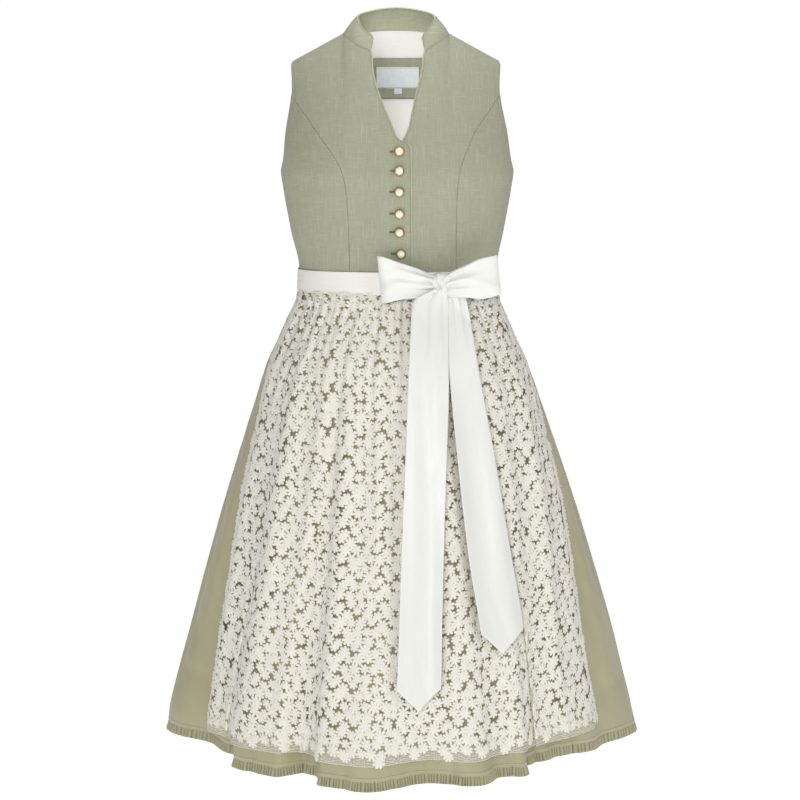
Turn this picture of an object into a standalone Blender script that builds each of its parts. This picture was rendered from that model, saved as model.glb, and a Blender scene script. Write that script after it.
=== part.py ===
"""Dirndl dress, sleeveless, with a lace apron and a ribbon bow.

Every panel is one cloth wall of its own, on a hollow garment that keeps the shape of its cut.
Metres, +Z up. The front faces -Y and the wearer's left is +X. The origin lies midway between
the shoulder seams, where the wearer carries the dress.
"""

import math

import bpy
import numpy as np
from mathutils import Vector

# Cloth walls and the spaces between pieces
LINEN_WALL = 0.0015
COTTON_WALL = 0.0014
LINING_WALL = 0.0010
SATIN_WALL = 0.0012
LACE_WALL = 0.0012
COLLAR_WALL = 0.0020
SEAM_GAP = 0.0003
SHOULDER_GAP = 0.0008  # from the shoulder line to each panel, as their walls lean together below it
FRILL_GAP = 0.0008  # between the skirt's outer edge and its frill, as the wall's inner edge is lower
LAYER_GAP = 0.0007  # between a panel and what lies on it, so that flat facets clear each other

# Heights of the main lines
WAIST_SEAM = -0.325
BAND_TOP = -0.3080
BAND_FOOT = -0.3420
SKIRT_HEM = -0.9525
APRON_HEM = -0.9330
FRILL_DROP = 0.0125

# Shoulders: the seam falls in a straight line from the neck point to the tip
NECK_POINT = 0.072
NECK_HEIGHT = 0.013
SHOULDER_TIP = 0.146
TIP_HEIGHT = -0.027
NECK_RISE = 0.037
SHOULDER_ROUND = 0.150  # the front and back lean together over this height below the seam
BACK_NECK_HEIGHT = 0.021

# Front closing
OVERLAP_LIFT = 0.0024  # the wearer's right front stands this far off the left one
OVERLAP_BLEND = (-0.052, -0.024)  # from none to all of that, across
OVERLAP_TOP = (-0.128, -0.098)  # and from all to none again, up the neckline
BUTTON_HEIGHTS = (-0.1470, -0.1722, -0.1998, -0.2288, -0.2536, -0.2826)
BUTTON_ACROSS = 0.001
BUTTON_RADIUS = 0.0067
BUTTON_DEPTH = 0.0070
BUTTON_SIDES = 12
BUTTON_SHANK = 0.0006  # space between the front and a button's flat back

# Grid sizes
APRON_COLUMNS = 42
SIDE_COLUMNS = 6
BACK_SKIRT_COLUMNS = 36
PLEATS_PER_COLUMN = 1.5
PLEAT_DEPTH = 0.0048
PLEAT_TOP = 0.0010
LACE_ROWS = 11
FRONT_COLUMNS = 8
SIDE_PANEL_COLUMNS = 5
BAND_COLUMNS = 24
BAND_SIDE_TURN = 0.0018  # radians, half of the space between the band and its tie
BAND_STEP = (0.026, 0.052)  # where the band comes down off the two layers of the closing


def table(names, rows):
    """A short table as a dictionary of named columns."""
    return dict(zip(names.split(), np.array(rows, float).T, strict=True))


# The horizontal rings of the garment, from the hem up: how far it reaches to each side of its
# middle, to the front and to the back, and how square the ring is (2 is an ellipse).
RINGS = table(
    "height half_width middle front back square",
    [
        (-0.962, 0.3330, 0.004, 0.264, 0.252, 2.00),
        (-0.926, 0.3270, 0.002, 0.257, 0.245, 2.00),
        (-0.888, 0.3175, 0.002, 0.249, 0.237, 2.00),
        (-0.816, 0.2986, 0.003, 0.234, 0.222, 2.00),
        (-0.721, 0.2720, 0.002, 0.213, 0.202, 2.00),
        (-0.635, 0.2464, 0.001, 0.193, 0.183, 2.00),
        (-0.502, 0.2025, -0.001, 0.161, 0.152, 2.05),
        (-0.441, 0.1815, -0.002, 0.143, 0.134, 2.10),
        (-0.404, 0.1645, -0.002, 0.127, 0.118, 2.15),
        (-0.375, 0.1510, -0.002, 0.113, 0.104, 2.20),
        (-0.348, 0.1390, -0.001, 0.102, 0.093, 2.30),
        (-0.308, 0.1370, -0.001, 0.098, 0.089, 2.30),
        (-0.255, 0.1470, -0.002, 0.108, 0.089, 2.40),
        (-0.196, 0.1572, -0.002, 0.121, 0.093, 2.50),
        (-0.174, 0.1600, -0.002, 0.124, 0.096, 2.60),
        (-0.125, 0.1580, -0.003, 0.118, 0.104, 2.80),
        (-0.072, 0.1510, -0.004, 0.105, 0.108, 2.80),
        (-0.027, 0.1500, -0.004, 0.097, 0.102, 2.80),
        (0.035, 0.1500, -0.003, 0.088, 0.092, 2.80),
    ],
)
BUST = {"across": 0.080, "height": -0.165, "width": 0.048, "tall": 0.055, "rise": 0.009}

# The hem's folds as crests and troughs round the ring: the turn from the middle of the front
# towards the wearer's left, and the reach from the axis.
HEM_FOLDS = table(
    "turn reach",
    [
        (-180, 0.238),
        (-163, 0.280),
        (-147, 0.240),
        (-128, 0.296),
        (-109, 0.268),
        (-90, 0.332),
        (-71, 0.266),
        (-47, 0.290),
        (-33, 0.244),
        (-10, 0.298),
        (7, 0.258),
        (21, 0.286),
        (32, 0.262),
        (42, 0.272),
        (54, 0.248),
        (70, 0.286),
        (90, 0.333),
        (110, 0.272),
        (129, 0.298),
        (146, 0.244),
        (163, 0.286),
        (180, 0.238),
    ],
)
FOLD_START = -0.340
FOLD_GROWTH = 1.25  # the folds open from the waist by this power of the way down
APRON_BRIDGE = 0.45  # the apron follows this share of a trough that it hangs across
BRIDGED_BELOW = -0.04  # troughs deeper than this ratio of the ring are the ones it bridges

# Seams of the bodice on the half of the wearer's left, and how far both halves are shifted there
PRINCESS = table(
    "height across shift",
    [
        (-0.330, 0.0720, 0.006),
        (-0.240, 0.0725, 0.005),
        (-0.202, 0.0740, 0.004),
        (-0.175, 0.0780, 0.003),
        (-0.155, 0.0860, 0.001),
        (-0.140, 0.0945, -0.001),
        (-0.118, 0.1080, -0.004),
        (-0.073, 0.1410, -0.004),
    ],
)
SIDE_SEAM_TURN = 0.0022  # radians, half of the space at a side seam
ARMHOLE_FOOT = -0.174
PRINCESS_TOP = -0.0735
ARMHOLE = table(
    "height turn",
    [
        (-0.1740, 90.0),
        (-0.1725, 83.5),
        (-0.1680, 77.5),
        (-0.1550, 72.0),
        (-0.1350, 70.0),
        (-0.1050, 69.0),
        (-0.0700, 69.0),
        (-0.0270, 73.0),
    ],
)

# The inner edges of the two fronts, from the waist up the closing, the neckline and the collar
# seam. Both fronts and the side fronts share these rows, so their seams and layers match.
FRONT_EDGES = table(
    "height right left",
    [
        (-0.3247, 0.0190, -0.0180),
        (-0.3060, 0.0190, -0.0180),
        (-0.2800, 0.0188, -0.0180),
        (-0.2550, 0.0186, -0.0180),
        (-0.2300, 0.0185, -0.0180),
        (-0.2080, 0.0183, -0.0180),
        (-0.1900, 0.0182, -0.0178),
        (-0.1700, 0.0181, -0.0130),
        (-0.1535, 0.0180, -0.0054),
        (-0.1470, 0.0177, -0.0022),
        (-0.1400, 0.0172, 0.0010),
        (-0.1335, 0.0125, 0.0042),
        (-0.1280, 0.0030, 0.0068),
        (-0.1130, -0.0066, 0.0130),
        (-0.0930, -0.0160, 0.0172),
        (-0.0740, -0.0240, 0.0213),
        (-0.0560, -0.0298, 0.0262),
        (-0.0398, -0.0334, 0.0300),
        (-0.0118, -0.0362, 0.0342),
        (-0.0040, -0.0430, 0.0405),
        (0.0050, -0.0560, 0.0540),
        (0.0130, -0.0760, 0.0680),
    ],
)
BACK_SHARES = (0.0, 0.062, 0.20, 0.36, 0.503, 0.522, 0.56, 0.67, 0.80, 0.91, 1.0)
BACK_HALF_COLUMNS = (0.0, 0.14, 0.28, 0.41, 0.532, 0.69, 0.85, 1.0)
NECK_SHARE = 0.532

# The collar over its seam: its rise, and how much narrower and shallower its upper edge is
COLLAR = table(
    "turn rise narrow shallow",
    [
        (25, 0.0215, 0.93, 0.66),
        (60, 0.0240, 0.82, 0.74),
        (90, 0.0260, 0.73, 0.85),
        (130, 0.0280, 0.76, 0.90),
        (180, 0.0290, 0.80, 0.90),
    ],
)
COLLAR_ROWS = 2
COLLAR_SEAM_ROWS = 4  # rows of a front, from the shoulder down, that the collar is sewn to
COLLAR_FOOT = 0.05  # share of the collar's rise that its lower edge clears the neckline by

# Inside the back
LINING_GAP = 0.0014
FACING = {"half_width": 0.072, "top": -0.0150, "foot": -0.0735, "columns": 10, "rows": 3}
LABEL = {"half_width": 0.0310, "middle": -0.0015, "top": -0.0270, "foot": -0.0570, "columns": 4, "rows": 2}
SIZE_TAB = {"half_width": 0.0055, "middle": -0.001, "top": -0.0583, "foot": -0.0660, "columns": 1, "rows": 1}

# The skirt's rows, and the gathers where it is sewn to the waist
SKIRT_SIDE_TURN = 0.0015  # radians, half of the space at a side seam
SKIRT_HEIGHTS = (-0.3253, -0.3430, -0.368, -0.410, -0.475, -0.580, -0.700, -0.830, SKIRT_HEM)
GATHER_RISE = 0.0064
GATHER_DROP = 0.120
GATHER_BEAT = 1.7  # radians from one gather to the next in the slow change of their fullness

# The apron's edges across its height, on the wearer's right and left
APRON_EDGES = table(
    "height right left",
    [
        (-0.930, -0.265, 0.275),
        (-0.880, -0.258, 0.264),
        (-0.800, -0.246, 0.250),
        (-0.720, -0.233, 0.240),
        (-0.600, -0.214, 0.220),
        (-0.540, -0.200, 0.204),
        (-0.480, -0.187, 0.189),
        (-0.441, -0.178, 0.176),
        (-0.404, -0.163, 0.161),
        (-0.375, -0.150, 0.149),
        (-0.340, -0.1365, 0.1355),
    ],
)
EDGE_TURN_LIMIT = 82.0
APRON_GAP = 0.0012
LACE_BAR = 0.68  # share of each row's height that stays whole between the rows of gaps

# Ribbon bow, tied on the wearer's left of the middle
# The knot settles back by as much as its round back leaves free
KNOT = {"across": 0.0557, "height": -0.3250, "half_width": 0.0150, "half_height": 0.0190, "depth": 0.0260,
        "settle": 0.0026}
KNOT_CAGE = 1.19  # the cage is this much larger than the soft block inside it
LOOPS = (
    ("bow_loop_right", -1, table(
        "out reach height half_height",
        [
            (0.0, 0.0150, -0.3240, 0.0120),
            (0.3, 0.0330, -0.3210, 0.0185),
            (0.7, 0.0620, -0.3170, 0.0260),
            (1.0, 0.0820, -0.3155, 0.0295),
        ],
    )),
    ("bow_loop_left", 1, table(
        "out reach height half_height",
        [
            (0.0, 0.0150, -0.3240, 0.0130),
            (0.3, 0.0300, -0.3190, 0.0185),
            (0.7, 0.0550, -0.3140, 0.0240),
            (1.0, 0.0795, -0.3105, 0.0258),
        ],
    )),
)
LOOP_STEPS = 14
LOOP_ROWS = 3
LOOP_FULLNESS = 0.0120
LOOP_FORWARD = 0.0050  # the loops spring forward of the knot's middle towards their ends
TAIL_RIGHT = table(
    "height right left",
    [
        (-0.8370, -0.0020, 0.0550),
        (-0.7700, 0.0005, 0.0560),
        (-0.6770, 0.0037, 0.0586),
        (-0.5500, 0.0085, 0.0630),
        (-0.4470, 0.0125, 0.0665),
        (-0.4000, 0.0160, 0.0655),
        (-0.3560, 0.0200, 0.0640),
    ],
)
TAIL_LEFT = table(
    "height right left",
    [
        (-0.7710, 0.1080, 0.1660),
        (-0.7400, 0.1030, 0.1610),
        (-0.6800, 0.0930, 0.1500),
        (-0.5500, 0.0780, 0.1280),
        (-0.4480, 0.0680, 0.1090),
        (-0.4000, 0.0660, 0.0990),
        (-0.3460, 0.0620, 0.0860),
    ],
)
TAIL_POINT = 0.0300  # the cut end comes to a point this far below its corners
TAIL_ROWS = 15
TAIL_COLUMNS = 4
TAIL_CLEARANCE = 0.0012
TAIL_LOOK = 0.012  # a row of a ribbon end also clears the apron this far above and below it
TAIL_SAMPLES = 25


def curve(places, values, at):
    """Values read between places along a smooth curve that never overshoots them.

    Each piece is a cubic, and its end slopes are harmonic means of the straight slopes beside
    them, or level at a crest or trough.
    """
    at = np.clip(np.asarray(at, float), places[0], places[-1])
    step = np.diff(places)
    rise = np.diff(values) / step
    slope = np.zeros(len(values))
    before, after = rise[:-1], rise[1:]
    same = before * after > 0
    near, far = 2 * step[1:] + step[:-1], step[1:] + 2 * step[:-1]
    safe_before = np.where(same, before, 1.0)
    safe_after = np.where(same, after, 1.0)
    slope[1:-1] = np.where(same, (near + far) / (near / safe_before + far / safe_after), 0.0)
    slope[0], slope[-1] = rise[0], rise[-1]
    i = np.clip(np.searchsorted(places, at) - 1, 0, len(step) - 1)
    t = (at - places[i]) / step[i]
    start = (2 * t**3 - 3 * t**2 + 1) * values[i] + (t**3 - 2 * t**2 + t) * step[i] * slope[i]
    end = (3 * t**2 - 2 * t**3) * values[i + 1] + (t**3 - t**2) * step[i] * slope[i + 1]
    return start + end


def read(source, name, at, key="height"):
    """One named column of a table, read smoothly against its first column."""
    order = np.argsort(source[key])
    return curve(source[key][order], source[name][order], at)


def ease(low, high, at):
    """0 below low, 1 above high, and a smooth step between."""
    t = np.clip((np.asarray(at, float) - low) / (high - low), 0, 1)
    return t * t * (3 - 2 * t)


# ---------------------------------------------------------------- the garment's form


def ring_reach(turn, height):
    """Reach of the plain ring from its middle: a superellipse read by its angle."""
    sideways = np.abs(np.sin(turn)) / read(RINGS, "half_width", height)
    depth = np.where(np.cos(turn) > 0, read(RINGS, "front", height), read(RINGS, "back", height))
    square = read(RINGS, "square", height)
    return (sideways**square + (np.abs(np.cos(turn)) / depth) ** square) ** (-1 / square)


def shoulder_seam_height(across):
    """Height of the shoulder seam's straight line, with a round arch over the neck between."""
    fall = (NECK_HEIGHT - TIP_HEIGHT) / (SHOULDER_TIP - NECK_POINT)
    arch = NECK_RISE * np.sqrt(1 - np.clip(across / NECK_POINT, 0, 1) ** 2)
    return NECK_HEIGHT + arch - np.maximum(across - NECK_POINT, 0) * fall


def lean(across, height):
    """Share of the full depth that is left below the shoulder seam: a quarter of a round."""
    below = np.clip((shoulder_seam_height(across) - height) / SHOULDER_ROUND, 0, 1)
    return np.sqrt(1 - (1 - below) ** 2)


def bust(across, height):
    """Fullness of the front under the princess seams."""
    side = (np.abs(across) - BUST["across"]) / BUST["width"]
    up = (height - BUST["height"]) / BUST["tall"]
    return BUST["rise"] * np.exp(-(side**2) - up**2)


def body(turn, height):
    """Points of the bodice's outer face by angle from the front middle and height."""
    turn, height = np.broadcast_arrays(np.asarray(turn, float), np.asarray(height, float))
    reach = ring_reach(turn, height)
    across, depth = reach * np.sin(turn), -reach * np.cos(turn)
    depth = depth - np.where(depth < 0, bust(across, height), 0.0) * np.abs(np.cos(turn))
    depth = depth * lean(np.abs(across), height)
    return np.stack([across + read(RINGS, "middle", height), depth, height], axis=-1)


def body_turn(across, height, behind=False):
    """Angle on the ring at a place across, by the superellipse's own depth there."""
    side = "back" if behind else "front"
    square = read(RINGS, "square", height)
    from_middle = across - read(RINGS, "middle", height)
    share = np.clip(np.abs(from_middle) / read(RINGS, "half_width", height), 0, 1) ** square
    depth = read(RINGS, side, height) * (1 - share) ** (1 / square)
    return np.arctan2(from_middle, -depth if behind else depth)


def fold_ratio(turn):
    """The hem's folds as a ratio to its plain ring, by cosine steps from crest to trough."""
    degrees = np.degrees(turn)
    places, reach = HEM_FOLDS["turn"], HEM_FOLDS["reach"]
    i = np.clip(np.searchsorted(places, degrees) - 1, 0, len(places) - 2)
    t = np.clip((degrees - places[i]) / (places[i + 1] - places[i]), 0, 1)
    blend = (1 - np.cos(math.pi * t)) / 2
    folded = reach[i] + (reach[i + 1] - reach[i]) * blend
    return folded / ring_reach(turn, SKIRT_HEM)


def fold_growth(height):
    """How far the folds have opened at a height, from none at the waist to all at the hem."""
    way = np.clip((FOLD_START - height) / (FOLD_START - SKIRT_HEM), 0, 1.05)
    return way**FOLD_GROWTH


def skirt(turn, height, bridge=1.0):
    """Points of the skirt's outer face; bridge keeps only a share of each trough."""
    turn, height = np.broadcast_arrays(np.asarray(turn, float), np.asarray(height, float))
    fold = fold_ratio(turn) - 1
    plain = np.where(np.abs(turn) < math.pi / 2, BRIDGED_BELOW, 0.0)
    fold = np.where(fold < plain, plain + (fold - plain) * bridge, fold)
    reach = ring_reach(turn, height) * (1 + fold * fold_growth(height))
    across = reach * np.sin(turn) + read(RINGS, "middle", height)
    return np.stack([across, -reach * np.cos(turn), height], axis=-1)


def outward(grid):
    """Unit normals of a grid of points whose rows rise and whose columns run anticlockwise."""
    along = np.gradient(grid, axis=1)
    up = np.gradient(grid, axis=0)
    normal = np.cross(along, up)
    return normal / np.linalg.norm(normal, axis=-1, keepdims=True)


def moved_out(grid, distance, level=False):
    """The grid's points moved along its normals by a distance, or one for each point.

    A level move keeps each point at its height.
    """
    normal = outward(grid)
    if level:
        normal = normal * [1, 1, 0]
        normal /= np.linalg.norm(normal, axis=-1, keepdims=True)
    return grid + normal * np.asarray(distance, float)[..., None]


# ---------------------------------------------------------------- making objects


def clear_scene():
    """Remove whatever the file holds."""
    for item in list(bpy.data.objects):
        bpy.data.objects.remove(item, do_unlink=True)


def finish(name, colour, roughness, metallic=0.0):
    """A plain Principled material."""
    made = bpy.data.materials.new(name)
    made.use_nodes = True
    shader = made.node_tree.nodes["Principled BSDF"]
    shader.inputs["Base Color"].default_value = (*colour, 1.0)
    shader.inputs["Roughness"].default_value = roughness
    shader.inputs["Metallic"].default_value = metallic
    made.diffuse_color = (*colour, 1.0)
    return made


def add(name, mesh, material, collection):
    """Link a mesh as a named object with its own copy of a material."""
    own = material.copy()
    own.name = f"{material.name}_{name}"
    mesh.materials.append(own)
    made = bpy.data.objects.new(name, mesh)
    collection.objects.link(made)
    return made


def grid_mesh(name, grid, gaps=None):
    """A mesh of quads through a grid of points; gaps marks the quads that are left out."""
    rows, columns = grid.shape[:2]
    index = np.arange(rows * columns).reshape(rows, columns)
    quads = np.stack([index[:-1, :-1], index[:-1, 1:], index[1:, 1:], index[1:, :-1]], axis=-1)
    kept = quads.reshape(-1, 4) if gaps is None else quads[~gaps]
    mesh = bpy.data.meshes.new(name)
    mesh.from_pydata(grid.reshape(-1, 3).tolist(), [], kept.tolist())
    mesh.shade_smooth()
    return mesh


def cloth(name, grid, wall, material, collection, gaps=None):
    """One cloth piece: a loft through the grid with its wall added on the inner side."""
    made = add(name, grid_mesh(name, grid, gaps), material, collection)
    thickness = made.modifiers.new("wall", "SOLIDIFY")
    thickness.thickness = wall
    thickness.offset = -1.0
    return made


# ---------------------------------------------------------------- the bodice


def armhole_turn(height):
    """Angle of the armhole's front edge, square to the side below its foot."""
    return np.radians(np.where(height < ARMHOLE_FOOT, 90.0, read(ARMHOLE, "turn", height)))


def princess_across(height, side):
    """Where a princess seam lies across the front, on the wearer's left (+1) or right (-1)."""
    return side * read(PRINCESS, "across", height) + read(PRINCESS, "shift", height)


def outer_heights():
    """Heights of the fronts' rows at the princess seams and armholes, up to the shoulder tip."""
    inner = FRONT_EDGES["height"]
    share = (inner - inner[0]) / (inner[-1] - inner[0])
    return inner[0] + share * (TIP_HEIGHT - inner[0])


def outer_across(height, side):
    """Where a front ends across: at the princess seam, and above it at the armhole."""
    armhole = body(side * armhole_turn(height), height)[:, 0]
    return np.where(height < PRINCESS_TOP - SEAM_GAP, princess_across(height, side), armhole)


def front_panel(side):
    """Grid of a front: from its inner edge to the princess seam, the armhole and the shoulder."""
    inner = FRONT_EDGES["height"]
    outer = outer_heights()
    shares = np.linspace(0, 1, FRONT_COLUMNS + 1)
    start = FRONT_EDGES["left" if side > 0 else "right"][:, None]
    across = start * (1 - shares) + outer_across(outer, side)[:, None] * shares
    height = inner[:, None] * (1 - shares) + outer[:, None] * shares
    # the upper row lies on the shoulder seam
    height[-1] = np.minimum(height[-1], shoulder_seam_height(np.abs(across[-1] - edge_middle())))
    grid = body(body_turn(across, height), height)
    grid[:, :, 1] = np.minimum(grid[:, :, 1], -SHOULDER_GAP)
    return grid if side > 0 else grid[:, ::-1]


def edge_middle():
    """Middle of the garment at the shoulder seam."""
    return float(read(RINGS, "middle", NECK_HEIGHT))


def overlap_lift(across, height):
    """How far the wearer's right front stands off the left one that it covers."""
    cover = ease(*OVERLAP_BLEND, across) * (1 - ease(*OVERLAP_TOP, height))
    return OVERLAP_LIFT * cover


def side_panel(side):
    """Grid of a side front: from the princess seam to the side seam and the armhole."""
    height = outer_heights()
    height = height[height < PRINCESS_TOP + SEAM_GAP]
    seam = outer_across(height, side) + side * 2 * SEAM_GAP
    start = np.abs(body_turn(seam, height))
    stop = armhole_turn(height)
    stop = np.where(height < ARMHOLE_FOOT, stop - SIDE_SEAM_TURN, stop)
    stop = np.maximum(stop, start + 0.012)
    shares = np.linspace(0, 1, SIDE_PANEL_COLUMNS + 1)
    turn = start[:, None] * (1 - shares) + stop[:, None] * shares
    grid = body(side * turn, np.repeat(height[:, None], len(shares), axis=1))
    return grid if side > 0 else grid[:, ::-1]


def back_panel():
    """Grid of the back, up its side seams and armholes to the shoulder seams and neckline."""
    half = np.array(BACK_HALF_COLUMNS)
    shares = np.concatenate([-half[:0:-1], half])
    up = np.array(BACK_SHARES)[:, None]
    foot = WAIST_SEAM + SEAM_GAP
    side_height = foot + up * (TIP_HEIGHT - foot)
    side_turn = armhole_turn(side_height) - SIDE_SEAM_TURN
    from_back = shares * side_turn
    turn = math.pi - from_back
    height = np.broadcast_to(foot + up * (NECK_HEIGHT - foot), turn.shape)
    for _ in range(4):
        across = np.abs(ring_reach(turn[-1], height[-1]) * np.sin(turn[-1]))
        neckline = BACK_NECK_HEIGHT - (BACK_NECK_HEIGHT - NECK_HEIGHT) * (across / NECK_POINT) ** 2
        top = np.where(across < NECK_POINT, neckline, shoulder_seam_height(across))
        height = foot + up * (top - foot)
    grid = body(turn, height)
    grid[:, :, 1] = np.maximum(grid[:, :, 1], SHOULDER_GAP)
    return grid[:, ::-1]


def collar(right_front, left_front, back):
    """Grid of the stand collar, on the points of the neckline that it is sewn to."""
    neck = BACK_HALF_COLUMNS.index(NECK_SHARE)
    middle = (back.shape[1] - 1) // 2
    round_back = back[-1, middle - neck + 1 : middle + neck][::-1]
    right = right_front[-COLLAR_SEAM_ROWS:, -1]
    left = left_front[-COLLAR_SEAM_ROWS:, 0][::-1]
    seam = np.concatenate([right, round_back, left])
    turn = np.degrees(np.abs(np.arctan2(seam[:, 0] - edge_middle(), -seam[:, 1])))
    top = seam.copy()
    top[:, 0] = (seam[:, 0] - edge_middle()) * read(COLLAR, "narrow", turn, "turn") + edge_middle()
    top[:, 1] = seam[:, 1] * read(COLLAR, "shallow", turn, "turn")
    top[:, 2] = seam[:, 2] + read(COLLAR, "rise", turn, "turn")
    shares = np.linspace(COLLAR_FOOT, 1, COLLAR_ROWS + 1)[:, None, None]
    grid = seam[None] * (1 - shares) + top[None] * shares
    return grid[:, ::-1]


def make_bodice(collection, linen, lining, white):
    """Fronts, side fronts, back and collar, and what is sewn inside the back."""
    right_front = front_panel(-1)
    lift = overlap_lift(right_front[:, :, 0], right_front[:, :, 2])
    right_front = moved_out(right_front, lift, level=True)
    left_front = front_panel(1)
    back = back_panel()
    cloth("bodice_front_right", right_front, LINEN_WALL, linen, collection)
    cloth("bodice_front_left", left_front, LINEN_WALL, linen, collection)
    cloth("bodice_side_right", side_panel(-1), LINEN_WALL, linen, collection)
    cloth("bodice_side_left", side_panel(1), LINEN_WALL, linen, collection)
    cloth("bodice_back", back, LINEN_WALL, linen, collection)
    cloth("stand_collar", collar(right_front, left_front, back), COLLAR_WALL, linen, collection)

    inside = LINEN_WALL + LINING_GAP
    cloth("back_lining", moved_out(back, -inside)[:, 2:-2], LINING_WALL, lining, collection)
    for name, size, material in (
        ("back_facing", FACING, linen),
        ("neck_label", LABEL, white),
        ("size_tab", SIZE_TAB, white),
    ):
        if name != "size_tab":
            inside += LINING_WALL + LINING_GAP
        cloth(name, back_patch(back, size, inside), LINING_WALL, material, collection)
    return right_front


def on_panel(grid, across, height):
    """Point of a panel's own facets at a place, found by turns along its rows and columns."""
    row = column = 0.0
    for _ in range(8):
        level = part_way(grid, row)
        order = np.argsort(level[:, 0])
        column = np.interp(across, level[order, 0], order)
        upright = part_way(grid.swapaxes(0, 1), column)
        row = np.interp(height, upright[:, 2], np.arange(len(upright)))
    return part_way(part_way(grid, row)[None].swapaxes(0, 1), column)[0]


def part_way(lines, place):
    """A line of points between two neighbours in a stack of lines."""
    low = min(int(place), len(lines) - 2)
    return lines[low] + (lines[low + 1] - lines[low]) * (place - low)


def back_patch(back, size, inside):
    """Grid of a patch inside the back, on the back's points and moved in from them."""
    across = np.linspace(size["half_width"], -size["half_width"], size["columns"] + 1)
    heights = np.linspace(size["foot"], size["top"], size["rows"] + 1)
    middle = size.get("middle", 0.0)
    grid = [[on_panel(back, x + middle, height) for x in across] for height in heights]
    return moved_out(np.array(grid), -inside)


def make_buttons(collection, pearl, front):
    """Six domed buttons in raised rims, turned on the axis that faces off the front."""
    profile = [
        (0.0, 1.0),
        (0.42, 0.92),
        (0.72, 0.60),
        (0.80, 0.42),
        (0.92, 0.46),
        (1.0, 0.28),
        (0.88, 0.0),
        (0.0, 0.0),
    ]
    for number, height in enumerate(BUTTON_HEIGHTS, 1):
        name = f"button_{number}"
        mesh = bpy.data.meshes.new(name)
        points = [(BUTTON_RADIUS * r, 0.0, BUTTON_DEPTH * h) for r, h in profile]
        mesh.from_pydata(points, [(i, i + 1) for i in range(len(points) - 1)], [])
        made = add(name, mesh, pearl, collection)
        turn = made.modifiers.new("turned", "SCREW")
        turn.steps = turn.render_steps = BUTTON_SIDES
        turn.use_merge_vertices = True
        turn.merge_threshold = 0.00001
        turn.use_smooth_shade = True
        point, normal = front_seat(front, BUTTON_ACROSS, height)
        made.location = point + normal * BUTTON_SHANK
        made.rotation_euler = normal.to_track_quat("Z", "Y").to_euler()


def front_seat(front, across, height):
    """Point and outward normal of the overlapping front's facets at a place."""
    near = BUTTON_RADIUS / 2
    steps = (-near, 0.0, near)
    grid = np.array([[on_panel(front, across + x, height + z) for x in steps] for z in steps])
    return Vector(grid[1, 1]), Vector(outward(grid)[1, 1])


# ---------------------------------------------------------------- the skirt


def apron_turn(height, side):
    """Angle of an apron edge, found where the skirt's face has the edge's place across."""
    target = float(read(APRON_EDGES, "left" if side > 0 else "right", height))
    low, high = 0.0, math.radians(EDGE_TURN_LIMIT)
    for _ in range(30):
        middle = (low + high) / 2
        reached = side * float(skirt(side * middle, height)[0]) < side * target
        low, high = (middle, high) if reached else (low, middle)
    return side * low


def front_skirt_grid():
    """Grid of the skirt's front, whose columns include both edges of the apron."""
    quarter = math.pi / 2 - SKIRT_SIDE_TURN
    rows = []
    for height in SKIRT_HEIGHTS[::-1]:
        right, left = apron_turn(height, -1), apron_turn(height, 1)
        turns = [
            np.linspace(-quarter, right, SIDE_COLUMNS + 1)[:-1],
            np.linspace(right, left, APRON_COLUMNS + 1),
            np.linspace(left, quarter, SIDE_COLUMNS + 1)[1:],
        ]
        rows.append(skirt(np.concatenate(turns), height))
    return np.array(rows)


def back_skirt_grid():
    """Grid of the skirt's back, with small gathers under the waist seam."""
    edge = math.pi / 2 + SKIRT_SIDE_TURN
    turns = np.linspace(edge, 2 * math.pi - edge, BACK_SKIRT_COLUMNS + 1)
    turns = np.where(turns > math.pi, turns - 2 * math.pi, turns)
    heights = np.array(SKIRT_HEIGHTS[::-1])[:, None]
    grid = skirt(turns[None, :], heights)
    return moved_out(grid, gathers(BACK_SKIRT_COLUMNS, heights), level=True)


def gathers(columns, heights):
    """Every second column stands out below the waist and sinks back further down."""
    odd = np.arange(columns + 1) % 2
    uneven = 0.75 + 0.25 * np.sin(GATHER_BEAT * np.arange(columns + 1))
    below = np.clip((BAND_FOOT - heights) / GATHER_DROP, 0, 1)
    return GATHER_RISE * odd * uneven * np.sin(math.pi * below) * (1 - below)


def on_rows(grid, grid_heights, heights):
    """Rows of a grid read at other heights, straight between its own rows."""
    order = np.argsort(grid_heights)
    rows = np.interp(heights, np.array(grid_heights)[order], np.arange(len(order)))
    low = np.clip(rows.astype(int), 0, len(order) - 2)
    share = (rows - low)[:, None, None]
    return grid[low] * (1 - share) + grid[low + 1] * share


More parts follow.
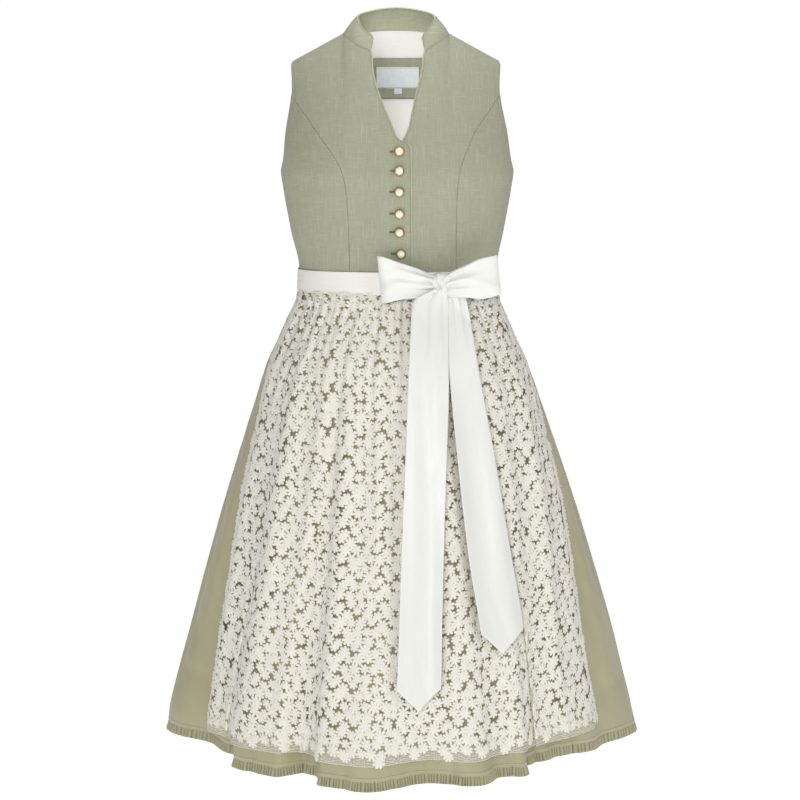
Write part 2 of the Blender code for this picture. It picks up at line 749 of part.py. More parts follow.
def apron_grid(front):
    """Grid of the apron on the skirt front's own columns, moved out, and its gaps."""
    columns = slice(SIDE_COLUMNS, SIDE_COLUMNS + APRON_COLUMNS + 1)
    top = BAND_FOOT - SEAM_GAP
    pitch = (top - APRON_HEM) / (LACE_ROWS + LACE_BAR)
    bars = APRON_HEM + pitch * np.arange(LACE_ROWS + 1)
    heights = np.sort(np.concatenate([bars, bars + pitch * LACE_BAR]))
    base = on_rows(front, SKIRT_HEIGHTS, heights)[:, columns]
    turns = np.arctan2(base[:, :, 0] - read(RINGS, "middle", heights)[:, None], -base[:, :, 1])
    hung = skirt(turns, np.repeat(heights[:, None], turns.shape[1], axis=1), APRON_BRIDGE)
    bridge = np.linalg.norm(hung[:, :, :2], axis=-1) - np.linalg.norm(base[:, :, :2], axis=-1)
    edge = ease(0, 3, np.minimum(np.arange(APRON_COLUMNS + 1), np.arange(APRON_COLUMNS, -1, -1)))
    out = LACE_WALL + APRON_GAP + np.maximum(bridge, 0) * edge
    out = out + gathers(APRON_COLUMNS, heights[:, None])
    gaps = np.zeros((len(heights) - 1, APRON_COLUMNS), bool)
    for row in range(1, len(heights) - 1, 2):
        gaps[row, (row // 2) % 2 + 1 : APRON_COLUMNS - 1 : 2] = True
    return moved_out(base, out, level=True), gaps, heights


def frill(hem, flip):
    """Grid of a pleated strip that hangs from the hem's own edge, one pleat in, one out."""
    count = int((len(hem) - 1) * PLEATS_PER_COLUMN * 2)
    place = np.linspace(0, len(hem) - 1, count + 1)
    line = np.stack([np.interp(place, np.arange(len(hem)), hem[:, k]) for k in range(3)], axis=-1)
    along = np.gradient(line, axis=0)
    out = np.stack([along[:, 1], -along[:, 0], np.zeros(len(line))], axis=-1)
    out /= np.linalg.norm(out, axis=-1, keepdims=True)
    fold = ((np.arange(len(line)) + flip) % 2)[:, None]
    top = line - [0, 0, FRILL_GAP] + out * (PLEAT_TOP * fold)
    foot = line - [0, 0, FRILL_DROP] + out * (PLEAT_DEPTH * fold - PLEAT_TOP)
    return np.array([foot, top])


def make_skirt(collection, cotton, lace):
    """Skirt front and back, the pleated strips at the hem and the lace apron."""
    front, back = front_skirt_grid(), back_skirt_grid()
    cloth("skirt_front", front, COTTON_WALL, cotton, collection)
    cloth("skirt_back", back, COTTON_WALL, cotton, collection)
    cloth("hem_frill_front", frill(front[0], 0), COTTON_WALL, cotton, collection)
    cloth("hem_frill_back", frill(back[0], 0), COTTON_WALL, cotton, collection)
    apron, gaps, heights = apron_grid(front)
    cloth("apron_lace", apron, LACE_WALL, lace, collection, gaps)
    return apron, heights


# ---------------------------------------------------------------- band and bow


def band(first, last, wall_out):
    """Grid of a waist band round the ring, a wall and a space outside it."""
    turns = np.linspace(first, last, BAND_COLUMNS + 1)
    heights = np.array([BAND_FOOT, (BAND_FOOT + BAND_TOP) / 2, BAND_TOP])
    grid = body(turns[None, :], heights[:, None])
    across = np.abs(grid[:, :, 0])
    cover = np.where(grid[:, :, 1] < 0, 1 - ease(*BAND_STEP, across), 0.0)
    return moved_out(grid, wall_out + OVERLAP_LIFT * cover, level=True)


def front_depth(points, heights, across, height):
    """The foremost depth of a grid's faces along a level line, read between its columns."""
    row = np.interp(height, heights, np.arange(len(heights)))
    low = min(int(row), len(heights) - 2)
    line = points[low] * (1 - (row - low)) + points[low + 1] * (row - low)
    order = np.argsort(line[:, 0])
    return np.interp(across, line[order, 0], line[order, 1])


def tail(edges, apron, apron_heights, clearance):
    """Grid of a hanging ribbon end, flat across its width, just clear of the apron."""
    heights = np.linspace(edges["height"].min(), edges["height"].max(), TAIL_ROWS + 1)
    shares = np.linspace(0, 1, TAIL_COLUMNS + 1)
    rows = []
    for number, height in enumerate(heights):
        right = float(read(edges, "right", height))
        left = float(read(edges, "left", height))
        samples = np.linspace(right, left, TAIL_SAMPLES)
        surface = front_depth(apron, apron_heights, samples, height)
        for near in (-TAIL_LOOK, TAIL_LOOK):
            other = front_depth(apron, apron_heights, samples, height + near)
            surface = np.minimum(surface, other)
        straight = surface[0] + (surface[-1] - surface[0]) * np.linspace(0, 1, TAIL_SAMPLES)
        forward = (straight - surface).max() + clearance + SATIN_WALL
        across = right + (left - right) * shares
        depth = surface[0] + (surface[-1] - surface[0]) * shares - forward
        level = np.full(len(shares), height)
        if number == 0:
            level -= TAIL_POINT * (1 - np.abs(2 * shares - 1))
        rows.append(np.stack([across, depth, level], axis=-1))
    return np.array(rows)


def loop(side, shape, knot_middle):
    """Grid of a bow loop: a flattened ring of ribbon, out along the back and home in front."""
    way = np.linspace(0, 1, LOOP_STEPS + 1)
    out = np.sin(math.pi * way) ** 0.8
    reach = read(shape, "reach", out, "out")
    middle = read(shape, "height", out, "out")
    tall = read(shape, "half_height", out, "out")
    full = LOOP_FULLNESS * np.cos(math.pi * way) * (0.35 + 0.65 * np.sin(math.pi * way))
    across = KNOT["across"] + side * reach
    forward = LOOP_FORWARD * np.clip(reach / reach.max(), 0, 1)
    depth = knot_middle + full - forward
    shares = np.linspace(-1, 1, LOOP_ROWS + 1)[:, None]
    height = middle + shares * tall
    grid = np.stack(np.broadcast_arrays(across, depth, height), axis=-1)
    return grid if side < 0 else grid[:, ::-1]


def make_ribbons(collection, satin, apron, apron_heights):
    """Apron band, the tie round the back, and the bow with its two hanging ends."""
    out = LAYER_GAP + SATIN_WALL
    side = math.pi / 2 - BAND_SIDE_TURN
    cloth("apron_band", band(-side, side, out), SATIN_WALL, satin, collection)
    round_back = band(math.pi - side, math.pi + side, out)
    cloth("apron_tie_back", round_back, SATIN_WALL, satin, collection)

    seat = band(-side, side, out)
    middle_row = seat[1]
    order = np.argsort(middle_row[:, 0])
    at = [KNOT["across"] - KNOT["half_width"], KNOT["across"] + KNOT["half_width"]]
    band_front = np.interp(at, middle_row[order, 0], middle_row[order, 1]).min()
    knot_middle = band_front - KNOT["depth"] / 2 + KNOT["settle"]
    make_knot(collection, satin, knot_middle)
    for name, direction, shape in LOOPS:
        grid = loop(direction, shape, knot_middle)
        cloth(name, grid, SATIN_WALL, satin, collection)
    over = TAIL_CLEARANCE + SATIN_WALL + 2 * LAYER_GAP
    cloth("bow_tail_right", tail(TAIL_RIGHT, apron, apron_heights, over), SATIN_WALL, satin, collection)
    under = tail(TAIL_LEFT, apron, apron_heights, TAIL_CLEARANCE)
    cloth("bow_tail_left", under, SATIN_WALL, satin, collection)


def make_knot(collection, satin, middle):
    """The knot: a soft block, pinched at its waist, from a subdivided cage."""
    bpy.ops.mesh.primitive_cube_add(size=2.0)
    made = bpy.context.object
    made.name = made.data.name = "bow_knot"
    own = satin.copy()
    own.name = f"{satin.name}_bow_knot"
    made.data.materials.append(own)
    for link in list(made.users_collection):
        link.objects.unlink(made)
    collection.objects.link(made)
    half = Vector((KNOT["half_width"], KNOT["depth"] / 2, KNOT["half_height"]))
    made.scale = half * KNOT_CAGE
    made.location = (KNOT["across"], middle, KNOT["height"])
    soft = made.modifiers.new("soft", "SUBSURF")
    soft.levels = soft.render_levels = 2
    made.data.shade_smooth()


def main():
    clear_scene()
    dress = bpy.data.collections.new("dirndl_dress")
    bpy.context.scene.collection.children.link(dress)
    linen = finish("sage_linen", (0.38, 0.40, 0.29), 0.85)
    cotton = finish("olive_cotton", (0.43, 0.40, 0.29), 0.65)
    lining = finish("white_lining", (0.78, 0.77, 0.73), 0.60)
    white = finish("white_tape", (0.80, 0.82, 0.82), 0.60)
    lace = finish("ivory_lace", (0.82, 0.80, 0.72), 0.80)
    satin = finish("ivory_satin", (0.88, 0.88, 0.84), 0.35)
    pearl = finish("pearl_and_brass", (0.80, 0.70, 0.50), 0.35)
    right_front = make_bodice(dress, linen, lining, white)
    make_buttons(dress, pearl, right_front)
    apron, apron_heights = make_skirt(dress, cotton, lace)
    make_ribbons(dress, satin, apron, apron_heights)


main()
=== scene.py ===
"""A sleeveless dirndl in slubbed linen with a cotton skirt, a flower lace apron and a satin bow.

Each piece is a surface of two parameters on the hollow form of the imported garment, in metres,
+Z up. The front faces -Y and the wearer's left is +X. Pieces replace the plain solids of the
frame and keep to their form.
"""

import functools
import math

import bpy
import numpy as np
from bpy.props import FloatProperty, FloatVectorProperty, IntProperty, PointerProperty
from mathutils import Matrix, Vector


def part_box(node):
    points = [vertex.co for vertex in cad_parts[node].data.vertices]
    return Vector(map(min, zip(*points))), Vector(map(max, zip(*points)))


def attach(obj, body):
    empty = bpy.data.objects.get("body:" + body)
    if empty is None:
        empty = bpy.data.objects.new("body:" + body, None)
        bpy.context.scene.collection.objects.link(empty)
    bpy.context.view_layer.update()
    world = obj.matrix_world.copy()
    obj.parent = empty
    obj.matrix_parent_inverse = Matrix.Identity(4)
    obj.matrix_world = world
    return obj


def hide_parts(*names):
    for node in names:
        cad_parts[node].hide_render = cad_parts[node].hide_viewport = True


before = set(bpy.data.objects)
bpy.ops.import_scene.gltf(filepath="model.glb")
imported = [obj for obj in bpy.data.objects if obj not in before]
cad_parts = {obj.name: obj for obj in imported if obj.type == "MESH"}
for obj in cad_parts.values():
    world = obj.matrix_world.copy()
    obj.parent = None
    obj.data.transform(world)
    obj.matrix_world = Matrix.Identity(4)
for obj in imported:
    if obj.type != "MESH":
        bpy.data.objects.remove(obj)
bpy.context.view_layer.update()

bl_info = {
    "name": "Dirndl dress",
    "version": (1, 0, 0),
    "blender": (4, 5, 0),
    "location": "3D View > Sidebar > Dirndl",
    "description": "Builds the cloth, lace, ribbon and buttons of a dirndl on its packed frame",
    "category": "Add Mesh",
}


def linear(hex_colour):
    """An sRGB hex colour as linear red, green and blue."""
    code = hex_colour.lstrip("#")
    parts = [int(code[i : i + 2], 16) / 255 for i in (0, 2, 4)]
    return tuple(c / 12.92 if c <= 0.04045 else ((c + 0.055) / 1.055) ** 2.4 for c in parts)


def table(names, rows):
    """A short table as a dictionary of named columns."""
    return dict(zip(names.split(), np.array(rows, float).T, strict=True))


# ---------------------------------------------------------------- sizes of the garment's form

WAIST_SEAM = -0.325
BAND_TOP = -0.3080
BAND_FOOT = -0.3385
SKIRT_HEM = -0.9525
APRON_HEM = -0.9330
FRILL_DROP = 0.0125
FRILL_TUCK = 0.0022
FRILL_LAP = 0.0014

NECK_POINT = 0.072
NECK_HEIGHT = 0.013
NECK_RISE = 0.037
NECK_ARCH = 0.75
SHOULDER_TIP = 0.146
TIP_HEIGHT = -0.027
TIP_ROUND = 0.0060
TIP_ROUND_TURN = 2.2
SHOULDER_ROUND = 0.150
BACK_NECK_HEIGHT = 0.021

OVERLAP_LIFT = 0.0024
OVERLAP_BLEND = (-0.052, -0.024)
OVERLAP_TOP = (-0.128, -0.098)
BUTTON_HEIGHTS = (-0.1470, -0.1722, -0.1998, -0.2288, -0.2536, -0.2826)

# Rings of the garment from the hem up: reach to each side of the ring's middle, to the front and
# to the back, and how square the ring is (2 is an ellipse).
RINGS = table(
    "height half_width middle front back square",
    [
        (-0.962, 0.3330, 0.004, 0.264, 0.252, 2.00),
        (-0.926, 0.3270, 0.002, 0.257, 0.245, 2.00),
        (-0.888, 0.3175, 0.002, 0.249, 0.237, 2.00),
        (-0.816, 0.2986, 0.003, 0.234, 0.222, 2.00),
        (-0.721, 0.2720, 0.002, 0.213, 0.202, 2.00),
        (-0.635, 0.2464, 0.001, 0.193, 0.183, 2.00),
        (-0.502, 0.2025, -0.001, 0.161, 0.152, 2.05),
        (-0.441, 0.1815, -0.002, 0.143, 0.134, 2.10),
        (-0.404, 0.1645, -0.002, 0.127, 0.118, 2.15),
        (-0.375, 0.1510, -0.002, 0.113, 0.104, 2.20),
        (-0.348, 0.1390, -0.001, 0.102, 0.093, 2.30),
        (-0.308, 0.1370, -0.001, 0.098, 0.089, 2.30),
        (-0.255, 0.1470, -0.002, 0.108, 0.089, 2.40),
        (-0.196, 0.1572, -0.002, 0.121, 0.093, 2.50),
        (-0.174, 0.1600, -0.002, 0.124, 0.096, 2.60),
        (-0.125, 0.1580, -0.003, 0.118, 0.104, 2.80),
        (-0.072, 0.1510, -0.004, 0.105, 0.108, 2.80),
        (-0.027, 0.1500, -0.004, 0.097, 0.102, 2.80),
        (0.035, 0.1500, -0.003, 0.088, 0.092, 2.80),
    ],
)
BUST = {"across": 0.080, "height": -0.165, "width": 0.048, "tall": 0.055, "rise": 0.009}

# Crests and troughs of the hem: turn from the middle of the front, and reach from the axis
HEM_FOLDS = table(
    "turn reach",
    [
        (-180, 0.238),
        (-163, 0.280),
        (-147, 0.240),
        (-128, 0.296),
        (-109, 0.268),
        (-90, 0.332),
        (-72, 0.270),
        (-56, 0.264),
        (-50, 0.292),
        (-36, 0.284),
        (-31, 0.248),
        (-27, 0.250),
        (-21, 0.288),
        (-9, 0.298),
        (7, 0.258),
        (21, 0.286),
        (29, 0.266),
        (36, 0.278),
        (42, 0.246),
        (54, 0.250),
        (70, 0.286),
        (90, 0.333),
        (110, 0.272),
        (129, 0.298),
        (146, 0.244),
        (163, 0.286),
        (180, 0.238),
    ],
)
FOLD_START = -0.340
FOLD_GROWTH = 1.25
FOLD_LIMIT = 1.05
APRON_BRIDGE = 0.45
BRIDGED_BELOW = -0.04

PRINCESS = table(
    "height across shift",
    [
        (-0.330, 0.0720, 0.006),
        (-0.240, 0.0725, 0.005),
        (-0.202, 0.0740, 0.004),
        (-0.175, 0.0780, 0.003),
        (-0.155, 0.0860, 0.001),
        (-0.140, 0.0945, -0.001),
        (-0.118, 0.1080, -0.004),
        (-0.070, 0.1434, -0.004),
    ],
)
PRINCESS_TOP = -0.0717
ARMHOLE_FOOT = -0.174
ARMHOLE = table(
    "height turn",
    [
        (-0.1740, 90.0),
        (-0.1725, 83.5),
        (-0.1680, 77.5),
        (-0.1550, 72.0),
        (-0.1350, 70.0),
        (-0.1050, 69.0),
        (-0.0700, 69.0),
        (-0.0270, 73.0),
    ],
)
FRONT_EDGES = table(
    "height right left",
    [
        (-0.3247, 0.0190, -0.0180),
        (-0.2800, 0.0188, -0.0180),
        (-0.2300, 0.0185, -0.0180),
        (-0.1900, 0.0182, -0.0178),
        (-0.1700, 0.0181, -0.0130),
        (-0.1535, 0.0180, -0.0054),
        (-0.1470, 0.0177, -0.0022),
        (-0.1400, 0.0165, 0.0010),
        (-0.1350, 0.0125, 0.0035),
        (-0.1315, 0.0030, 0.0050),
        (-0.1265, -0.0022, 0.0074),
        (-0.1130, -0.0074, 0.0130),
        (-0.0930, -0.0160, 0.0172),
        (-0.0740, -0.0240, 0.0213),
        (-0.0560, -0.0298, 0.0262),
        (-0.0398, -0.0334, 0.0300),
        (-0.0118, -0.0362, 0.0342),
        (-0.0085, -0.0460, 0.0405),
        (-0.0040, -0.0545, 0.0460),
        (0.0050, -0.0650, 0.0580),
        (0.0130, -0.0760, 0.0692),
    ],
)
COLLAR_SEAM_START = -0.0118
COLLAR = table(
    "turn rise narrow shallow",
    [
        (25, 0.0215, 0.93, 0.66),
        (60, 0.0240, 0.79, 0.74),
        (90, 0.0260, 0.705, 0.85),
        (130, 0.0295, 0.76, 0.90),
        (180, 0.0310, 0.80, 0.90),
    ],
)
APRON_EDGES = table(
    "height right left",
    [
        (-0.930, -0.265, 0.275),
        (-0.880, -0.258, 0.264),
        (-0.800, -0.246, 0.250),
        (-0.720, -0.233, 0.240),
        (-0.600, -0.214, 0.220),
        (-0.540, -0.200, 0.204),
        (-0.480, -0.187, 0.189),
        (-0.441, -0.178, 0.176),
        (-0.404, -0.163, 0.161),
        (-0.375, -0.150, 0.149),
        (-0.340, -0.1365, 0.1355),
    ],
)

# Hanging ends of the bow: their two edges across, and the depth of each edge
TAIL_RIGHT = table(
    "height right left right_depth left_depth",
    [
        (-0.8370, -0.0020, 0.0550, -0.259, -0.249),
        (-0.7700, 0.0005, 0.0560, -0.2420, -0.2345),
        (-0.6770, 0.0037, 0.0586, -0.2165, -0.2120),
        (-0.5500, 0.0085, 0.0630, -0.1835, -0.1795),
        (-0.4470, 0.0125, 0.0665, -0.1585, -0.1500),
        (-0.4000, 0.0150, 0.0662, -0.1430, -0.1320),
        (-0.3480, 0.0180, 0.0655, -0.1240, -0.1170),
        (-0.3400, 0.0230, 0.0650, -0.1205, -0.1165),
        (-0.3340, 0.0360, 0.0640, -0.1180, -0.1160),
        (-0.3280, 0.0470, 0.0620, -0.1150, -0.1150),
    ],
)
TAIL_LEFT = table(
    "height right left right_depth left_depth",
    [
        (-0.7710, 0.1080, 0.1660, -0.2185, -0.1840),
        (-0.7400, 0.1030, 0.1610, -0.2132, -0.1790),
        (-0.6800, 0.0930, 0.1500, -0.2020, -0.1700),
        (-0.5500, 0.0780, 0.1280, -0.1720, -0.1475),
        (-0.4480, 0.0680, 0.1090, -0.1450, -0.1275),
        (-0.4000, 0.0640, 0.1010, -0.1290, -0.1180),
        (-0.3480, 0.0600, 0.0915, -0.1150, -0.1120),
        (-0.3400, 0.0580, 0.0890, -0.1140, -0.1110),
        (-0.3340, 0.0550, 0.0820, -0.1130, -0.1110),
        (-0.3280, 0.0530, 0.0740, -0.1120, -0.1110),
    ],
)
TAIL_POINT = 0.0300
LOOP_RIGHT = table(
    "out reach height half_height",
    [
        (0.0, 0.0080, -0.3235, 0.0120),
        (0.3, 0.0310, -0.3210, 0.0190),
        (0.7, 0.0620, -0.3175, 0.0270),
        (1.0, 0.0815, -0.3165, 0.0308),
    ],
)
LOOP_LEFT = table(
    "out reach height half_height",
    [
        (0.0, 0.0080, -0.3245, 0.0140),
        (0.3, 0.0280, -0.3205, 0.0200),
        (0.7, 0.0550, -0.3155, 0.0255),
        (1.0, 0.0785, -0.3100, 0.0275),
    ],
)

# ---------------------------------------------------------------- creases

# A crease runs from one end to the other (across, height), with its half width and its depth:
# a ridge where the depth is above zero, a trough below it.
CREASE_COLUMNS = "from_across from_height to_across to_height width depth"
FRONT_CREASES = table(
    CREASE_COLUMNS,
    [
        (-0.125, -0.215, -0.060, -0.300, 0.0070, -0.0010),
        (-0.138, -0.180, -0.100, -0.205, 0.0060, -0.0011),
        (-0.100, -0.320, -0.108, -0.262, 0.0065, 0.0013),
        (-0.048, -0.318, -0.056, -0.255, 0.0060, -0.0009),
        (-0.020, -0.160, -0.066, -0.176, 0.0055, -0.0008),
        (-0.018, -0.214, -0.058, -0.205, 0.0060, -0.0008),
        (-0.018, -0.262, -0.050, -0.270, 0.0060, -0.0009),
        (-0.128, -0.098, -0.102, -0.070, 0.0070, -0.0009),
        (-0.112, -0.030, -0.078, -0.056, 0.0080, 0.0008),
        (0.130, -0.205, 0.096, -0.262, 0.0060, 0.0013),
        (0.118, -0.200, 0.086, -0.290, 0.0065, -0.0012),
        (0.104, -0.315, 0.118, -0.250, 0.0060, -0.0012),
        (0.134, -0.170, 0.108, -0.196, 0.0060, -0.0012),
        (0.034, -0.300, 0.052, -0.236, 0.0060, 0.0008),
        (0.030, -0.190, 0.066, -0.172, 0.0055, -0.0008),
        (0.120, -0.100, 0.096, -0.066, 0.0070, -0.0009),
        (0.100, -0.028, 0.070, -0.060, 0.0080, 0.0008),
    ],
)
BACK_CREASES = table(
    CREASE_COLUMNS,
    [
        (-0.120, -0.210, -0.030, -0.235, 0.0080, -0.0014),
        (-0.110, -0.255, -0.020, -0.262, 0.0075, -0.0013),
        (-0.020, -0.235, 0.105, -0.225, 0.0080, -0.0013),
        (0.010, -0.285, 0.110, -0.270, 0.0075, -0.0014),
        (-0.040, -0.318, -0.052, -0.270, 0.0060, 0.0012),
        (0.055, -0.318, 0.062, -0.275, 0.0060, 0.0012),
        (-0.130, -0.150, -0.080, -0.110, 0.0080, -0.0011),
        (0.126, -0.150, 0.082, -0.112, 0.0080, -0.0011),
        (-0.060, -0.050, 0.050, -0.056, 0.0100, 0.0009),
    ],
)
# Soft folds and crumples of the skirt that run with the hang: turn and height of both ends
SKIRT_CREASE_COLUMNS = "from_turn from_height to_turn to_height width depth"
SKIRT_CREASES = table(
    SKIRT_CREASE_COLUMNS,
    [
        (-78, -0.420, -82, -0.930, 2.6, 0.0042),
        (-86, -0.560, -88, -0.900, 2.0, -0.0034),
        (-69, -0.640, -66, -0.900, 2.4, -0.0038),
        (78, -0.430, 80, -0.930, 2.6, 0.0042),
        (86, -0.520, 87, -0.880, 2.0, -0.0034),
        (68, -0.620, 66, -0.900, 2.4, -0.0038),
        (-100, -0.400, -101, -0.850, 2.8, 0.0042),
        (-120, -0.380, -117, -0.800, 3.0, -0.0042),
        (-138, -0.400, -137, -0.900, 2.6, 0.0038),
        (-156, -0.380, -155, -0.780, 3.0, 0.0046),
        (-172, -0.420, -172, -0.850, 2.8, -0.0042),
        (172, -0.380, 171, -0.820, 2.6, 0.0042),
        (154, -0.400, 153, -0.880, 2.8, -0.0038),
        (138, -0.380, 137, -0.760, 3.0, 0.0046),
        (119, -0.400, 120, -0.900, 2.8, -0.0042),
        (101, -0.420, 99, -0.860, 2.6, 0.0038),
        (-74, -0.880, -86, -0.868, 1.6, -0.0019),
        (72, -0.900, 84, -0.884, 1.6, -0.0019),
        (-61, -0.990, -60, -0.912, 1.5, -0.0032),
        (-43, -0.985, -45, -0.905, 1.4, -0.0034),
        (-24, -0.985, -24, -0.915, 1.2, -0.0026),
        (-14, -0.985, -15, -0.912, 1.3, -0.0032),
        (-3, -0.985, -2, -0.915, 1.2, -0.0026),
        (14, -0.985, 15, -0.912, 1.3, -0.0032),
        (33, -0.985, 32, -0.908, 1.3, -0.0032),
        (48, -0.985, 47, -0.905, 1.5, -0.0034),
        (61, -0.990, 62, -0.912, 1.5, -0.0032),
    ],
)
# Folds of the apron: place across as a share of its half width, height of both ends, half width
# as the same share, and depth
APRON_FOLDS = table(
    "from_share from_height to_share to_height width depth",
    [
        (-0.66, -0.345, -0.60, -0.930, 0.060, 0.0060),
        (-0.90, -0.360, -0.86, -0.930, 0.045, 0.0050),
        (-0.47, -0.343, -0.40, -0.760, 0.045, 0.0050),
        (-0.33, -0.343, -0.22, -0.930, 0.050, 0.0056),
        (-0.12, -0.343, -0.08, -0.700, 0.040, 0.0044),
        (0.02, -0.343, 0.08, -0.930, 0.055, 0.0050),
        (0.22, -0.343, 0.27, -0.930, 0.050, 0.0056),
        (0.44, -0.343, 0.47, -0.780, 0.042, 0.0046),
        (0.60, -0.343, 0.60, -0.930, 0.050, 0.0056),
        (0.80, -0.350, 0.78, -0.930, 0.045, 0.0052),
        (0.93, -0.400, 0.94, -0.930, 0.035, 0.0040),
    ],
)


# ---------------------------------------------------------------- settings shown in the panel


def size(name, description, default):
    """A length in metres."""
    about = {"name": name, "description": description, "default": default}
    return FloatProperty(**about, min=0.0, unit="LENGTH", precision=5)


def colour(name, description, hex_colour):
    """A colour, given as sRGB hex."""
    about = {"name": name, "description": description, "default": linear(hex_colour)}
    return FloatVectorProperty(**about, size=3, subtype="COLOR", min=0.0, max=1.0)


class ClothSettings(bpy.types.PropertyGroup):
    """Walls and colours of the linen, the cotton and what is sewn inside."""

    linen_wall: size("Linen wall", "Thickness of the bodice with its interfacing", 0.0013)
    cotton_wall: size("Cotton wall", "Thickness of the skirt's cloth", 0.0010)
    frill_wall: size("Frill wall", "Thickness of the pleated strip", 0.0005)
    edge_roll: size("Edge roll", "How far a turned edge rolls in", 0.0012)
    seam_roll: size("Seam roll", "How far a seam sinks between its panels", 0.0007)
    linen: colour("Linen", "Sage yarn of the bodice", "#9EA08A")
    linen_slub: colour("Linen slubs", "Paler thick places in the yarn", "#C3C7B0")
    cotton: colour("Cotton", "Olive yarn of the skirt", "#AAA586")
    lining: colour("Lining", "White cloth inside the back", "#F4F3EF")
    label: colour("Label", "Pale tape of the bare label", "#DCE4E6")


class LaceSettings(bpy.types.PropertyGroup):
    """The flower lace of the apron."""

    repeat_across: size("Repeat across", "Width of one repeat of the flowers", 0.102)
    repeat_up: size("Repeat up", "Height of one repeat of the flowers", 0.047)
    large_flower: size("Large flower", "Radius of a large daisy", 0.0088)
    small_flower: size("Small flower", "Radius of a small daisy", 0.0071)
    thread: colour("Lace thread", "Ivory thread of the flowers", "#F6F3E9")
    net: colour("Net", "Ivory thread of the fine net", "#E9E7DC")


class RibbonSettings(bpy.types.PropertyGroup):
    """The satin band and bow."""

    wall: size("Ribbon wall", "Thickness of the satin ribbon", 0.0007)
    satin: colour("Satin", "Ivory satin of the bow", "#E7E7E2")
    band: colour("Band", "Ivory satin of the waist band", "#ECEAE3")


class ButtonSettings(bpy.types.PropertyGroup):
    """The six buttons down the front."""

    radius: size("Button radius", "Outer radius of the brass rim", 0.0067)
    sides: IntProperty(name="Button sides", description="Steps round a button", default=40, min=12)
    brass: colour("Brass", "Aged brass of the rims", "#C39B5C")
    pearl: colour("Pearl", "Cream pearl of the domes", "#F5EEDC")


# ---------------------------------------------------------------- curves and surfaces


NO_LENGTH = 1e-12
# Edges: how far the turned cloth rolls in, and the groove that a line of stitches pulls
ROLL_WIDTH = 0.0022
GROOVE_DEPTH = 0.00035
GROOVE_WIDTH = 0.0007
# A crease keeps this share of its depth at its ends, and rises from them by a power of a sine
CREASE_END = 0.25
CREASE_SPAN = (0.03, 0.97)
CREASE_POWER = 0.7
END_TIGHTNESS = 0.75
TOP_TIGHTNESS = 1.6
FINE_STEPS = 3000


def curve(places, values, at):
    """Values read along a cubic through the places that never overshoots them: its slopes are
    harmonic means of the straight slopes on both sides, and level at a crest or trough."""
    at = np.clip(np.asarray(at, float), places[0], places[-1])
    step = np.diff(places)
    rise = np.diff(values) / step
    slope = np.zeros(len(values))
    before, after = rise[:-1], rise[1:]
    same = before * after > 0
    near, far = 2 * step[1:] + step[:-1], step[1:] + 2 * step[:-1]
    safe_before = np.where(same, before, 1.0)
    safe_after = np.where(same, after, 1.0)
    slope[1:-1] = np.where(same, (near + far) / (near / safe_before + far / safe_after), 0.0)
    slope[0], slope[-1] = rise[0], rise[-1]
    i = np.clip(np.searchsorted(places, at) - 1, 0, len(step) - 1)
    t = (at - places[i]) / step[i]
    start = (2 * t**3 - 3 * t**2 + 1) * values[i] + (t**3 - 2 * t**2 + t) * step[i] * slope[i]
    end = (3 * t**2 - 2 * t**3) * values[i + 1] + (t**3 - t**2) * step[i] * slope[i + 1]
    return start + end


def read(source, name, at, key="height"):
    """One named column of a table, read smoothly against its key column."""
    order = np.argsort(source[key])
    return curve(source[key][order], source[name][order], at)


def ease(low, high, at):
    """0 below low, 1 above high, and a smooth step between."""
    t = np.clip((np.asarray(at, float) - low) / (high - low), 0, 1)
    return t * t * (3 - 2 * t)


def bell(offset, width):
    """A bell curve: 1 at no offset, and 1 / e one width away."""
    return np.exp(-((offset / width) ** 2))


def blend(first, second, share):
    """The first value where the share is 0, and the second where it is 1."""
    return first * (1 - share) + second * share


def waves(rows, first, second=0.0):
    """A sum of sine waves. Each row holds a wave's size, its radians for each unit of the first
    and of the second place, and its start in radians."""
    sums = (size * np.sin(one * first + two * second + start) for size, one, two, start in rows)
    return sum(sums)


def slanted(form, first, second):
    """A ridge or a dent across a surface: its depth times a bell curve about its place, which
    moves by its slant as the second value grows. A form is depth, place, slant and half width."""
    depth, place, slant, width = form
    return depth * bell(first - place - slant * second, width)


def unit(vectors):
    """Vectors made one long, by the root of their summed squares."""
    length = np.linalg.norm(vectors, axis=-1, keepdims=True)
    return vectors / np.maximum(length, NO_LENGTH)


def ring_reach(turn, height):
    """Reach of the plain ring from its middle: a superellipse read by its angle."""
    sideways = np.abs(np.sin(turn)) / read(RINGS, "half_width", height)
    depth = np.where(np.cos(turn) > 0, read(RINGS, "front", height), read(RINGS, "back", height))
    square = read(RINGS, "square", height)
    return (sideways**square + (np.abs(np.cos(turn)) / depth) ** square) ** (-1 / square)


def shoulder_seam_height(across):
    """Height of the shoulder seam: a straight fall, with a round arch over the neck between."""
    fall = (NECK_HEIGHT - TIP_HEIGHT) / (SHOULDER_TIP - NECK_POINT)
    arch = NECK_RISE * (1 - np.clip(across / NECK_POINT, 0, 1) ** 2) ** NECK_ARCH
    return NECK_HEIGHT + arch - np.maximum(across - NECK_POINT, 0) * fall


def lean(across, height):
    """Share of the full depth that is left below the shoulder seam: a quarter of a round."""
    below = np.clip((shoulder_seam_height(across) - height) / SHOULDER_ROUND, 0, 1)
    return np.sqrt(1 - (1 - below) ** 2)


def bust(across, height):
    """Fullness of the front under the princess seams: one soft mound on each side."""
    side = bell(np.abs(across) - BUST["across"], BUST["width"])
    return BUST["rise"] * side * bell(height - BUST["height"], BUST["tall"])


